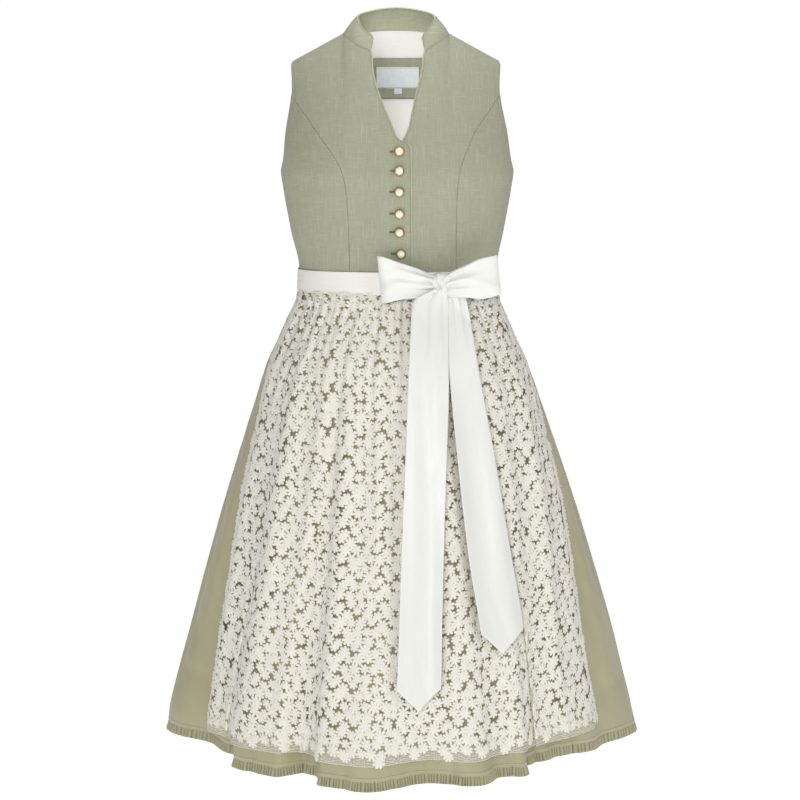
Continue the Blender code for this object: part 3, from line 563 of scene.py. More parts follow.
def body(turn, height):
    """Points of the bodice by angle from the middle of the front and height: the ring at that
    height, fuller at the bust, leaning together towards the shoulder seam."""
    turn, height = np.broadcast_arrays(np.asarray(turn, float), np.asarray(height, float))
    reach = ring_reach(turn, height)
    across, depth = reach * np.sin(turn), -reach * np.cos(turn)
    depth = depth - np.where(depth < 0, bust(across, height), 0.0) * np.abs(np.cos(turn))
    depth = depth * lean(np.abs(across), height)
    return np.stack([across + read(RINGS, "middle", height), depth, height], axis=-1)


def body_turn(across, height, behind=False):
    """Angle on the ring at a place across, by the superellipse's own depth there."""
    square = read(RINGS, "square", height)
    from_middle = across - read(RINGS, "middle", height)
    share = np.clip(np.abs(from_middle) / read(RINGS, "half_width", height), 0, 1) ** square
    depth = read(RINGS, "back" if behind else "front", height) * (1 - share) ** (1 / square)
    return np.arctan2(from_middle, -depth if behind else depth)


def fold_ratio(turn):
    """The hem's folds as a ratio to its plain ring, by cosine steps from crest to trough."""
    degrees = np.degrees(turn)
    places, reach = HEM_FOLDS["turn"], HEM_FOLDS["reach"]
    i = np.clip(np.searchsorted(places, degrees) - 1, 0, len(places) - 2)
    t = np.clip((degrees - places[i]) / (places[i + 1] - places[i]), 0, 1)
    folded = blend(reach[i], reach[i + 1], (1 - np.cos(math.pi * t)) / 2)
    return folded / ring_reach(turn, SKIRT_HEM)


def skirt(turn, height, bridge=1.0):
    """Points of the skirt: the ring, with the hem's folds opening from the waist by a power of
    the way down. bridge keeps only a share of each trough in front."""
    turn, height = np.broadcast_arrays(np.asarray(turn, float), np.asarray(height, float))
    fold = fold_ratio(turn) - 1
    plain = np.where(np.abs(turn) < math.pi / 2, BRIDGED_BELOW, 0.0)
    fold = np.where(fold < plain, plain + (fold - plain) * bridge, fold)
    way = np.clip((FOLD_START - height) / (FOLD_START - SKIRT_HEM), 0, FOLD_LIMIT)
    reach = ring_reach(turn, height) * (1 + fold * way**FOLD_GROWTH)
    across = reach * np.sin(turn) + read(RINGS, "middle", height)
    return np.stack([across, -reach * np.cos(turn), height], axis=-1)


def outward(grid):
    """Unit normals of a grid of points whose rows rise and whose columns run anticlockwise."""
    return unit(np.cross(np.gradient(grid, axis=1), np.gradient(grid, axis=0)))


def moved_out(grid, distance, level=False):
    """The grid moved along its normals by a distance; a level move keeps every height."""
    normal = outward(grid)
    if level:
        normal = unit(normal * [1, 1, 0])
    return grid + normal * np.asarray(distance, float)[..., None]


def creases(source, first, second, names=("across", "height"), stretch=1.0):
    """Sum of soft ridges and troughs: each falls away from its line as a bell curve, and fades
    at both ends. stretch is how many units of the first place are as long as one of the second."""
    total = np.zeros(np.broadcast(first, second).shape)
    columns = [source[f"from_{names[0]}"], source[f"from_{names[1]}"]]
    columns += [source[f"to_{names[0]}"], source[f"to_{names[1]}"], source["width"], source["depth"]]
    for x0, y0, x1, y1, width, depth in zip(*columns, strict=True):
        run = np.array([(x1 - x0) / stretch, y1 - y0])
        length = np.hypot(*run)
        along = (((first - x0) / stretch) * run[0] + (second - y0) * run[1]) / length**2
        nearest = np.clip(along, 0, 1)
        near = bell(first - (x0 + nearest * (x1 - x0)), width)
        near = near * bell(second - (y0 + nearest * (y1 - y0)), width / stretch)
        bow = np.sin(math.pi * np.clip(nearest, *CREASE_SPAN)) ** CREASE_POWER
        fade = CREASE_END + (1 - CREASE_END) * bow
        total = total + depth * fade * near
    return total


def dense_ends(count):
    """Shares from 0 to 1 whose steps are finer at both ends, by a sine."""
    t = np.linspace(0, 1, count)
    return t - END_TIGHTNESS * np.sin(2 * math.pi * t) / (2 * math.pi)


def dense_top(count):
    """Shares from 0 to 1 whose steps shrink towards 1, by a power."""
    return 1 - (1 - np.linspace(0, 1, count)) ** TOP_TIGHTNESS


def places_along(points, shares):
    """Places in a list of points at shares of its line's length."""
    steps = np.linalg.norm(np.diff(points, axis=0), axis=-1)
    way = np.concatenate([[0], np.cumsum(steps)])
    return np.interp(shares * way[-1], way, np.arange(len(points)))


def pick(values, places):
    """Values read between the items of a list, at fractional places."""
    return np.interp(places, np.arange(len(values)), values)


def points_at(points, places):
    """Points read between the items of a list of points, at fractional places."""
    return np.stack([pick(points[:, k], places) for k in range(3)], axis=-1)


def read_grid(values, row, column):
    """Lists of values read between the rows and columns of a grid, at fractional places."""
    rows, columns = values.shape[:2]
    row, column = np.clip(row, 0, rows - 1), np.clip(column, 0, columns - 1)
    r = np.minimum(row.astype(int), rows - 2)
    c = np.minimum(column.astype(int), columns - 2)
    down, over = (row - r)[..., None], (column - c)[..., None]
    near = blend(values[r, c], values[r, c + 1], over)
    return blend(near, blend(values[r + 1, c], values[r + 1, c + 1], over), down)


def run_along(grid, axis):
    """Distance along the rows (axis 1) or columns (axis 0) of a grid from its first line."""
    step = np.linalg.norm(np.diff(grid, axis=axis), axis=-1)
    first = np.zeros_like(np.take(step, [0], axis=axis))
    return np.concatenate([first, np.cumsum(step, axis=axis)], axis=axis)


def edge_distance(grid, sides):
    """Distance of each point from the nearest of the named edges."""
    across, up = run_along(grid, 1), run_along(grid, 0)
    ways = {"l": across, "r": across[:, -1:] - across, "b": up, "t": up[-1:] - up}
    return np.min([np.ones(grid.shape[:2])] + [ways[side] for side in sides], axis=0)


def rolled(grid, depth, width, sides, groove=0.0):
    """The grid with its edges turned in: they sink by a square law over the last few mm. A line
    of stitches pulls a narrow groove at its own distance from the edge."""
    near = edge_distance(grid, sides)
    sink = depth * np.clip(1 - near / width, 0, 1) ** 2
    if groove:
        sink = sink + GROOVE_DEPTH * bell(near - groove, GROOVE_WIDTH)
    return moved_out(grid, -sink)


# ---------------------------------------------------------------- meshes and objects


def quads(index):
    """Faces between the rows and columns of a grid of point numbers."""
    corners = [index[:-1, :-1], index[:-1, 1:], index[1:, 1:], index[1:, :-1]]
    return np.stack(corners, axis=-1).reshape(-1, 4)


def grid_object(name, grid, uv=None, closed=False):
    """A mesh of quads through a grid of points, with a UV map in metres of cloth."""
    rows, columns = grid.shape[:2]
    index = np.arange(rows * columns).reshape(rows, columns)
    if closed:
        index = np.concatenate([index, index[:, :1]], axis=1)
    made = mesh_object(name, grid.reshape(-1, 3), quads(index))
    if closed:
        uv = np.concatenate([uv, uv[:, :1] + [uv[:, -1:, 0].max(), 0]], axis=1)
        index = np.arange(rows * (columns + 1)).reshape(rows, columns + 1)
    if uv is not None:
        set_uv(made, uv.reshape(-1, 2)[quads(index).reshape(-1)])
    return made


def mesh_object(name, points, faces):
    """An object from arrays of points and of faces with equal numbers of corners."""
    mesh = bpy.data.meshes.new(name)
    count, corners = faces.shape
    mesh.vertices.add(len(points))
    mesh.vertices.foreach_set("co", np.ascontiguousarray(points, dtype=np.float32).ravel())
    mesh.loops.add(count * corners)
    mesh.loops.foreach_set("vertex_index", np.ascontiguousarray(faces, dtype=np.int32).ravel())
    mesh.polygons.add(count)
    mesh.polygons.foreach_set("loop_start", np.arange(0, count * corners, corners, dtype=np.int32))
    mesh.update(calc_edges=True)
    mesh.validate()
    mesh.shade_smooth()
    made = bpy.data.objects.new(name, mesh)
    bpy.context.scene.collection.objects.link(made)
    return made


def write_relief(made, values):
    """Write how raised each point is, from 0 in a dip to 1 on a crest."""
    relief = made.data.attributes.new("relief", "FLOAT", "POINT")
    relief.data.foreach_set("value", np.ascontiguousarray(values, dtype=np.float32).ravel())


def set_uv(made, corners):
    """Write a UV map from one pair for each face corner."""
    layer = made.data.uv_layers.new(name="cloth")
    layer.data.foreach_set("uv", np.ascontiguousarray(corners, dtype=np.float32).ravel())


def wall(made, thickness, inside=None):
    """Give a surface its wall on the inner side, with a second material for the inner face."""
    shell = made.modifiers.new("wall", "SOLIDIFY")
    shell.thickness = thickness
    shell.offset = -1.0
    if inside is not None:
        made.data.materials.append(inside)
        shell.material_offset = 1
    return made


def cloth_uv(grid, anchor=0):
    """Straight grain of a panel: distance along each row, counted from its anchor column's own
    place across, and height."""
    way = run_along(grid, 1)
    across = way - way[:, [anchor]] + grid[:, [anchor], 0]
    return np.stack([across, grid[:, :, 2]], axis=-1)


def dress_piece(made, material, nodes):
    """Material, body and the hidden solids that a piece stands for."""
    made.data.materials.clear()
    made.data.materials.append(material)
    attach(made, "root")
    if nodes:
        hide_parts(*nodes)
    return made


def copies(name, template, faces, origins, frames):
    """One mesh of many small shapes: each is the template, turned by a frame of three axes."""
    points = origins[:, None] + np.einsum("vk,nkj->nvj", template, frames)
    offsets = np.arange(len(origins))[:, None, None] * len(template)
    faces = (faces[None] + offsets).reshape(-1, faces.shape[1])
    return mesh_object(name, points.reshape(-1, 3), faces)


# A stitch: a short capsule of thread with pinched ends. Its stations along, as shares of its
# length, with the share of its section there, and its section's corners
STITCH_STATIONS = np.array([(-0.5, 0.35), (-0.3, 1.0), (0.3, 1.0), (0.5, 0.35)])
STITCH_SECTION = np.array([(-0.5, 0.0), (0.0, 1.0), (0.5, 0.0), (0.0, -0.6)])


def stitch_shape(length, width, tall):
    """Points and faces of one stitch along X, standing off its seam along Z."""
    along = np.repeat(STITCH_STATIONS[:, 0] * length, 4)
    side = STITCH_SECTION * [width, tall] * STITCH_STATIONS[:, 1][:, None, None]
    side = side.reshape(-1, 2)
    points = np.stack([along, side[:, 0], side[:, 1]], axis=-1)
    index = np.arange(16).reshape(4, 4)
    turned = np.roll(index, -1, axis=1)
    sides = np.stack([index[:-1], index[1:], turned[1:], turned[:-1]], axis=-1).reshape(-1, 4)
    ends = np.array([[0, 1, 2, 3], [15, 14, 13, 12]])
    return points, np.concatenate([sides, ends])


def stitch_frames(line, normals, pitch):
    """Even places along a line on a surface, each with its run, its side and its normal."""
    length = run_along(line[None], 1)[0, -1]
    count = max(int(length / pitch), 2)
    places = places_along(line, np.linspace(0, 1, 2 * count + 1))[1::2]
    origins = points_at(line, places)
    run = unit(np.gradient(origins, axis=0))
    side = unit(np.cross(points_at(normals, places), run))
    return origins, np.stack([run, side, np.cross(run, side)], axis=1)


def inset_line(grid, edge, inset):
    """A line inside a panel at a fixed distance from one edge, with the panel's normals."""
    normals = outward(grid)
    if edge in "bt":
        grid, normals = grid.swapaxes(0, 1), normals.swapaxes(0, 1)
    way = run_along(grid, 1)
    way = way[:, -1:] - way if edge in "rt" else way
    order = np.argsort(way, axis=1)
    sorted_way = np.take_along_axis(way, order, axis=1)
    rank = np.array([np.interp(inset, row, np.arange(len(row))) for row in sorted_way])
    low = np.clip(rank.astype(int), 0, grid.shape[1] - 2)
    share = (rank - low)[:, None]
    rows = np.arange(len(grid))
    ends = order[rows, low], order[rows, low + 1]
    return tuple(blend(v[rows, ends[0]], v[rows, ends[1]], share) for v in (grid, normals))


# ---------------------------------------------------------------- materials


# A Mix node's colour sockets are told apart by number, because their names repeat
MIX_SHARE, MIX_FIRST, MIX_SECOND, MIX_COLOUR = 0, 6, 7, 2


def feed(tree, node, inputs):
    """Set or link a node's inputs, given by name or number."""
    for key, value in inputs.items():
        if isinstance(value, bpy.types.NodeSocket):
            tree.links.new(value, node.inputs[key])
        else:
            node.inputs[key].default_value = value


def add_node(tree, kind, inputs=None, output=0, **settings):
    """Add a shader node with its settings and links, and give back one of its outputs."""
    made = tree.nodes.new(kind)
    for key, value in settings.items():
        setattr(made, key, value)
    feed(tree, made, inputs or {})
    return made.outputs[output]


def start_material(name):
    """A material with its Principled shader."""
    material = bpy.data.materials.new(name)
    material.use_nodes = True
    tree = material.node_tree
    return material, tree, tree.nodes["Principled BSDF"]


def full(values):
    """A colour property as an opaque colour."""
    return (*values, 1.0)


def shaded(values, factor):
    """A colour made darker or lighter by a factor."""
    return full([min(c * factor, 1.0) for c in values])


def grain(tree, vector, size, detail=2.0):
    """Pattern of uneven yarn: noise whose grains are so many metres across and up the cloth."""
    scale = (1 / size[0], 1 / size[1], 1.0)
    stretched = add_node(tree, "ShaderNodeMapping", {"Vector": vector, "Scale": scale})
    inputs = {"Vector": stretched, "Scale": 1.0, "Detail": detail}
    return add_node(tree, "ShaderNodeTexNoise", inputs, output="Fac")


def varied(tree, base, pattern, between, shades):
    """A colour that goes from its darker to its lighter shade as a pattern goes between two
    values."""
    spread = {"Value": pattern, "From Min": between[0], "From Max": between[1]}
    share = add_node(tree, "ShaderNodeMapRange", spread)
    dark, light = (shaded(base, factor) for factor in shades)
    both = {MIX_SHARE: share, MIX_FIRST: dark, MIX_SECOND: light}
    return add_node(tree, "ShaderNodeMix", both, MIX_COLOUR, data_type="RGBA")


def weave(tree, vector, thread):
    """Height of a plain weave: the product of two sine waves, one for warp and one for weft, each
    as long as two threads."""
    waves = []
    for axis in (0, 1):
        way = add_node(tree, "ShaderNodeSeparateXYZ", {0: vector}, output=axis)
        angle = add_node(tree, "ShaderNodeMath", {0: way, 1: math.pi / thread}, operation="MULTIPLY")
        waves.append(add_node(tree, "ShaderNodeMath", {0: angle}, operation="SINE"))
    return add_node(tree, "ShaderNodeMath", {0: waves[0], 1: waves[1]}, operation="MULTIPLY")


def slubs(tree, uv):
    """Share of thick yarn at each place: streaks 1.6 mm wide and a few cm long, both ways. Real
    slubs are about 0.5 mm wide, which would not show from a step away."""
    warp = {"Value": grain(tree, uv, (0.0016, 0.034)), "From Min": 0.52, "From Max": 0.76}
    weft = {"Value": grain(tree, uv, (0.024, 0.0016)), "From Min": 0.54, "From Max": 0.80}
    both = {k: add_node(tree, "ShaderNodeMapRange", way) for k, way in enumerate((warp, weft))}
    return add_node(tree, "ShaderNodeMath", both, operation="MAXIMUM")


def woven_cloth(name, base, slub, thread, slub_share, sheen, roughness, bump, yarn_share=0.2):
    """Plain woven cloth, matte with a little sheen: its yarn is of uneven thickness, so that fine
    streaks run both ways over a broad faint mottle. thread is the spacing drawn, two or three
    times the real one, so that it shows."""
    material, tree, shader = start_material(name)
    uv = add_node(tree, "ShaderNodeUVMap", uv_map="cloth")
    broad = grain(tree, uv, size=(0.11, 0.16), detail=3.0)
    mottle = varied(tree, base, broad, between=(0.35, 0.65), shades=(0.965, 1.03))
    threads = {0: grain(tree, uv, size=(0.0011, 0.014)), 1: grain(tree, uv, size=(0.012, 0.0010))}
    fine = add_node(tree, "ShaderNodeMath", threads, operation="ADD")
    yarn = varied(tree, base, fine, between=(0.80, 1.20), shades=(0.90, 1.08))
    both = {MIX_SHARE: yarn_share, MIX_FIRST: mottle, MIX_SECOND: yarn}
    ground = add_node(tree, "ShaderNodeMix", both, MIX_COLOUR, data_type="RGBA")
    thick = {0: slubs(tree, uv), 1: slub_share}
    streaks = add_node(tree, "ShaderNodeMath", thick, operation="MULTIPLY")
    both = {MIX_SHARE: streaks, MIX_FIRST: ground, MIX_SECOND: full(slub)}
    tone = add_node(tree, "ShaderNodeMix", both, MIX_COLOUR, data_type="RGBA")
    rough_yarn = add_node(tree, "ShaderNodeMath", {0: fine, 1: 1.6}, operation="MULTIPLY")
    relief = {0: weave(tree, uv, thread), 1: rough_yarn}
    height = add_node(tree, "ShaderNodeMath", relief, operation="ADD")
    bumped = {"Height": height, "Strength": 0.55, "Distance": bump}
    look = {
        "Base Color": tone,
        "Roughness": roughness,
        "Sheen Weight": sheen,
        "Sheen Roughness": 0.45,
        "Specular IOR Level": 0.25,
        "Normal": add_node(tree, "ShaderNodeBump", bumped),
    }
    feed(tree, shader, look)
    return material


def painted_light_by_relief(material, tint, between, shares):
    """Mix a colour into a material by shares as its relief goes between two values: a painted highlight
    on folded edges, or painted shade deep between pleats and in the dips of the lace."""
    tree = material.node_tree
    shader = tree.nodes["Principled BSDF"]
    relief = add_node(tree, "ShaderNodeAttribute", output="Fac", attribute_name="relief")
    spread = {"Value": relief, "From Min": between[0], "From Max": between[1]}
    spread |= {"To Min": shares[0], "To Max": shares[1]}
    share = add_node(tree, "ShaderNodeMapRange", spread)
    tone = shader.inputs["Base Color"].links[0].from_socket
    both = {MIX_SHARE: share, MIX_FIRST: tone, MIX_SECOND: full(tint)}
    toned = add_node(tree, "ShaderNodeMix", both, MIX_COLOUR, data_type="RGBA")
    feed(tree, shader, {"Base Color": toned})
    return material


def satin_ribbon(name, base):
    """Polyester satin: long floats of smooth yarn give a soft bright sheen and faint ribs."""
    material, tree, shader = start_material(name)
    uv = add_node(tree, "ShaderNodeUVMap", uv_map="cloth")
    streak = grain(tree, uv, size=(0.0012, 0.060))
    broad = grain(tree, uv, size=(0.030, 0.045), detail=3.0)
    gloss = {"Value": streak, "From Min": 0.3, "From Max": 0.7, "To Min": 0.36, "To Max": 0.46}
    waves = add_node(tree, "ShaderNodeMath", {0: broad, 1: 2.5}, operation="MULTIPLY")
    height = add_node(tree, "ShaderNodeMath", {0: streak, 1: waves}, operation="ADD")
    bumped = {"Height": height, "Strength": 0.35, "Distance": 0.0008}
    look = {
        "Base Color": varied(tree, base, broad, between=(0.35, 0.65), shades=(0.975, 1.0)),
        "Roughness": add_node(tree, "ShaderNodeMapRange", gloss),
        "Sheen Weight": 0.25,
        "Sheen Roughness": 0.35,
        "Normal": add_node(tree, "ShaderNodeBump", bumped),
    }
    feed(tree, shader, look)
    return material


# Lace thread: its colour's shares in the painted shade of the dips, and how much light comes through
LACE_DIP_SHADE = (0.80, 0.78, 0.71)
LACE_THIN = 0.09


def lace_thread(name, base):
    """Cotton embroidery thread: matte and raised in cushions, with painted shade that darkens it in the
    dips between them."""
    material, tree, shader = start_material(name)
    place = add_node(tree, "ShaderNodeTexCoord", output="Object")
    fine = grain(tree, place, size=(0.0009, 0.0009), detail=3.0)
    bumped = {"Height": fine, "Strength": 0.45, "Distance": 0.0005}
    look = {
        "Base Color": varied(tree, base, fine, between=(0.35, 0.65), shades=(0.93, 1.0)),
        "Roughness": 0.8,
        "Sheen Weight": 0.3,
        "Specular IOR Level": 0.2,
        "Normal": add_node(tree, "ShaderNodeBump", bumped),
    }
    feed(tree, shader, look)
    # painted shade in the dips between the cushions
    dip_shade = [c * d for c, d in zip(base, LACE_DIP_SHADE, strict=True)]
    painted_light_by_relief(material, dip_shade, between=(0.0, 0.55), shares=(1.0, 0.0))
    # a little light comes through the thin stitching
    thin = add_node(tree, "ShaderNodeBsdfTranslucent", {"Color": full(base)})
    mixed = {0: LACE_THIN, 1: shader.outputs[0], 2: thin}
    both = add_node(tree, "ShaderNodeMixShader", mixed)
    feed(tree, tree.nodes["Material Output"], {"Surface": both})
    return material


def lace_net(name, base, cell):
    """Fine net along the hem: the thread runs round small open cells, drawn coarser than the real
    1 mm so that they show. Above it only stray threads are left between the flowers."""
    material, tree, shader = start_material(name)
    uv = add_node(tree, "ShaderNodeUVMap", uv_map="cloth")
    cells = {"Vector": uv, "Scale": 1 / cell, "Randomness": 0.35}
    from_edge = {"output": "Distance", "feature": "DISTANCE_TO_EDGE"}
    edge = add_node(tree, "ShaderNodeTexVoronoi", cells, **from_edge)
    near = {"Value": edge, "From Min": 0.07, "From Max": 0.13, "To Min": 1.0, "To Max": 0.0}
    up = add_node(tree, "ShaderNodeSeparateXYZ", {0: uv}, output=1)
    low = {"Value": up, "From Min": 0.016, "From Max": 0.030, "To Min": 1.0, "To Max": 0.08}
    shares = {k: add_node(tree, "ShaderNodeMapRange", way) for k, way in enumerate((near, low))}
    look = {
        "Base Color": full(base),
        "Roughness": 0.85,
        "Specular IOR Level": 0.2,
        "Alpha": add_node(tree, "ShaderNodeMath", shares, operation="MULTIPLY"),
    }
    feed(tree, shader, look)
    return material


def aged_brass(name, base):
    """Cast brass, aged unevenly: darker and brighter in small random patches, with its gloss and bumps
    varying with them.
    """
    material, tree, shader = start_material(name)
    place = add_node(tree, "ShaderNodeTexCoord", output="Object")
    worn = grain(tree, place, size=(0.0012, 0.0012), detail=4.0)
    gloss = {"Value": worn, "From Min": 0.3, "From Max": 0.7, "To Min": 0.50, "To Max": 0.30}
    bumped = {"Height": worn, "Strength": 0.3, "Distance": 0.0003}
    look = {
        "Base Color": varied(tree, base, worn, between=(0.35, 0.62), shades=(0.55, 1.05)),
        "Metallic": 1.0,
        "Roughness": add_node(tree, "ShaderNodeMapRange", gloss),
        "Normal": add_node(tree, "ShaderNodeBump", bumped),
    }
    feed(tree, shader, look)
    return material


def pearl_dome(name, base):
    """Imitation pearl: a glossy clear coat over a cream lustre."""
    material, tree, shader = start_material(name)
    place = add_node(tree, "ShaderNodeTexCoord", output="Object")
    lustre = grain(tree, place, size=(0.004, 0.004))
    look = {
        "Base Color": varied(tree, base, lustre, between=(0.35, 0.65), shades=(0.93, 1.0)),
        "Roughness": 0.22,
        "Coat Weight": 0.6,
        "Coat Roughness": 0.12,
    }
    feed(tree, shader, look)
    return material


def sewing_thread(name, base):
    """Polyester sewing thread, two strands twisted: a faint gloss."""
    material, tree, shader = start_material(name)
    place = add_node(tree, "ShaderNodeTexCoord", output="Object")
    twist = grain(tree, place, size=(0.0006, 0.0006), detail=1.0)
    look = {
        "Base Color": varied(tree, base, twist, between=(0.0, 1.0), shades=(0.82, 1.08)),
        "Roughness": 0.75,
        "Specular IOR Level": 0.2,
    }
    feed(tree, shader, look)
    return material


def studio_floor(name):
    """Matte white studio board, slightly uneven in tone and lit until it looks even."""
    material, tree, shader = start_material(name)
    place = add_node(tree, "ShaderNodeTexCoord", output="Object")
    white = linear("#FAFAFA")
    broad = grain(tree, place, size=(0.5, 0.5))
    look = {
        "Base Color": varied(tree, white, broad, between=(0.0, 1.0), shades=(0.985, 1.0)),
        "Roughness": 0.9,
        "Emission Color": full(white),
        "Emission Strength": 0.8,
    }
    feed(tree, shader, look)
    return material


# Painted shade deep between the pleats of the strip: the cotton's colour times this
PLEAT_SHADE = 0.48
NET_CELL = 0.0021


@functools.cache
def finishes():
    """The dress's materials by short names."""
    scene = bpy.context.scene
    cloth, lace, ribbon = scene.dirndl_cloth, scene.dirndl_lace, scene.dirndl_ribbon
    buttons = scene.dirndl_buttons
    cotton = {"slub": linear("#C6C2A6"), "thread": 0.0010, "slub_share": 0.10, "sheen": 0.22}
    cotton |= {"roughness": 0.52, "bump": 0.00010}
    lining = {"slub": linear("#FFFFFF"), "thread": 0.0009, "slub_share": 0.20, "sheen": 0.10}
    lining |= {"roughness": 0.60, "bump": 0.00012}
    tape = {"slub": linear("#EEF3F4"), "thread": 0.0008, "slub_share": 0.30, "sheen": 0.15}
    tape |= {"roughness": 0.50, "bump": 0.00010, "yarn_share": 0.55}
    linen = {"slub": cloth.linen_slub, "thread": 0.0013, "slub_share": 0.40, "sheen": 0.10}
    linen |= {"roughness": 0.85, "bump": 0.00035, "yarn_share": 0.55}
    slubbed = woven_cloth("slubbed_linen", cloth.linen, **linen)
    # painted highlight: a paler sage mixed into the linen along its folded edges, where light catches
    # the fold
    painted_light_by_relief(slubbed, linear("#CBC7A8"), between=(0.1, 0.7), shares=(0.0, 0.75))
    pleated = woven_cloth("pleated_cotton", cloth.cotton, **cotton)
    # painted shade: the pleated strip darkens towards its valleys
    painted_pleat_shade = [c * PLEAT_SHADE for c in cloth.cotton]
    painted_light_by_relief(pleated, painted_pleat_shade, between=(0.05, 0.75), shares=(1.0, 0.0))
    return {
        "linen": slubbed,
        "cotton": woven_cloth("olive_cotton", cloth.cotton, **cotton),
        "pleats": pleated,
        "lining": woven_cloth("white_lining", cloth.lining, **lining),
        "tape": woven_cloth("label_tape", cloth.label, **tape),
        "satin": satin_ribbon("ivory_satin", ribbon.satin),
        "band": satin_ribbon("band_satin", ribbon.band),
        "lace": lace_thread("lace_thread", lace.thread),
        "net": lace_net("lace_net", lace.net, NET_CELL),
        "brass": aged_brass("aged_brass", buttons.brass),
        "pearl": pearl_dome("cream_pearl", buttons.pearl),
        "linen_thread": sewing_thread("linen_thread", linear("#8C8E76")),
        "cotton_thread": sewing_thread("cotton_thread", linear("#7F7B58")),
        "dark_thread": sewing_thread("buttonhole_thread", linear("#7C7B63")),
    }


# ---------------------------------------------------------------- the bodice

PANEL_ROWS = 156
PANEL_COLUMNS = 50
SIDE_ROWS = 126
SIDE_COLUMNS = 30
SHOULDER_GAP = 0.0002
PRINCESS_GAP = 0.0002
SHOULDER_START = 0.80
ROW_BEND = 3
BACK_ROW_BEND = 8
NECKLINE_ROUNDS = 4
# Painted highlight along the folded edges of the linen: its width, and the offset that keeps it at full
# strength near the edge
EDGE_HIGHLIGHT_WIDTH = 0.0013
EDGE_HIGHLIGHT_CLEAR = 1.3
SEAM_ROLL_WIDTH = 0.0016
STITCH_GROOVE = 0.0032


def armhole_turn(height):
    """Angle of the armhole's front edge, square to the side below its foot."""
    rounding = np.clip((height - TIP_HEIGHT + TIP_ROUND) / TIP_ROUND, 0, 1) ** 2
    turn = read(ARMHOLE, "turn", height) - TIP_ROUND_TURN * rounding
    return np.radians(np.where(height < ARMHOLE_FOOT, 90.0, turn))


def princess_across(height, side):
    """Where a princess seam lies across, on the wearer's left (+1) or right (-1)."""
    return side * read(PRINCESS, "across", height) + read(PRINCESS, "shift", height)


def outer_across(height, side):
    """Where a front ends across: at the princess seam, and above it at the armhole."""
    armhole = body(side * armhole_turn(height), height)[:, 0]
    nearer = side * np.minimum(side * princess_across(height, side), side * armhole)
    return np.where(height < PRINCESS_TOP, nearer, armhole)


def edge_rows(side):
    """Heights and places across of a front's inner edge, even along its own length."""
    height = np.linspace(FRONT_EDGES["height"][0], FRONT_EDGES["height"][-1], FINE_STEPS)
    across = read(FRONT_EDGES, "left" if side > 0 else "right", height)
    edge = np.stack([across, height, 0 * height], axis=-1)
    places = places_along(edge, dense_top(PANEL_ROWS))
    return pick(height, places), pick(across, places)


def front_panel(side):
    """Grid of a front: straight steps across and up from its inner edge to its outer one, laid on
    the body, with the closing's lift on the wearer's right."""
    inner, start = edge_rows(side)
    share = (inner - inner[0]) / (inner[-1] - inner[0])
    outer = inner[0] + share * (TIP_HEIGHT - inner[0])
    shares = dense_ends(PANEL_COLUMNS)
    stop = outer_across(outer, side)
    across = blend(start[:, None], stop[:, None], shares)
    height = blend(inner[:, None], outer[:, None], shares)
    middle = float(read(RINGS, "middle", NECK_HEIGHT))
    top = shoulder_seam_height(np.maximum(np.abs(across - middle), NECK_POINT))
    near_top = (ease(SHOULDER_START, 1.0, share) ** 2)[:, None]
    height = np.minimum(height + near_top * (top[-1] - height[-1]), top)
    grid = body(body_turn(across, height), height)
    # the last row is the shoulder seam itself
    grid[-1, np.abs(across[-1] - middle) > NECK_POINT, 1] = -SHOULDER_GAP
    grid[:, :, 1] = np.minimum(grid[:, :, 1], -SHOULDER_GAP)
    grid = grid if side > 0 else grid[:, ::-1]
    lift = creases(FRONT_CREASES, grid[:, :, 0], grid[:, :, 2])
    if side < 0:
        cover = ease(*OVERLAP_BLEND, grid[:, :, 0]) * (1 - ease(*OVERLAP_TOP, grid[:, :, 2]))
        lift = lift + OVERLAP_LIFT * cover + button_pull(grid[:, :, 0], grid[:, :, 2])
    return moved_out(grid, lift, level=True)


# The dip at each button: half width across, half width up and depth
DIP_WIDTH = 0.016
DIP_TALL = 0.0055
DIP_DEPTH = 0.0007


def button_pull(across, height):
    """The closing swells a little between the buttons and dips at each one."""
    dips = sum(bell(height - seat, DIP_TALL) for seat in BUTTON_HEIGHTS)
    return -DIP_DEPTH * bell(across, DIP_WIDTH) * dips


def side_panel(side):
    """Grid of a side front, from the princess seam round to the side seam and the armhole."""
    fine = np.linspace(FRONT_EDGES["height"][0], PRINCESS_TOP - PRINCESS_GAP, FINE_STEPS)
    edge = body(side * armhole_turn(fine), fine)
    height = pick(fine, places_along(edge, np.linspace(0, 1, SIDE_ROWS)))
    even = np.linspace(height[0], height[-1], len(height))
    start = np.abs(body_turn(outer_across(even, side), even))
    stop = armhole_turn(height)
    shares = dense_ends(SIDE_COLUMNS)
    turn = blend(start[:, None], stop[:, None], shares)
    height = even[:, None] + (height - even)[:, None] * shares**ROW_BEND
    grid = body(side * turn, height)
    grid = grid if side > 0 else grid[:, ::-1]
    return moved_out(grid, creases(FRONT_CREASES, grid[:, :, 0], grid[:, :, 2]), level=True)


def back_neckline(across):
    """Height of the neckline behind: highest in the middle, falling by a square law."""
    return blend(BACK_NECK_HEIGHT, NECK_HEIGHT, (across / NECK_POINT) ** 2)


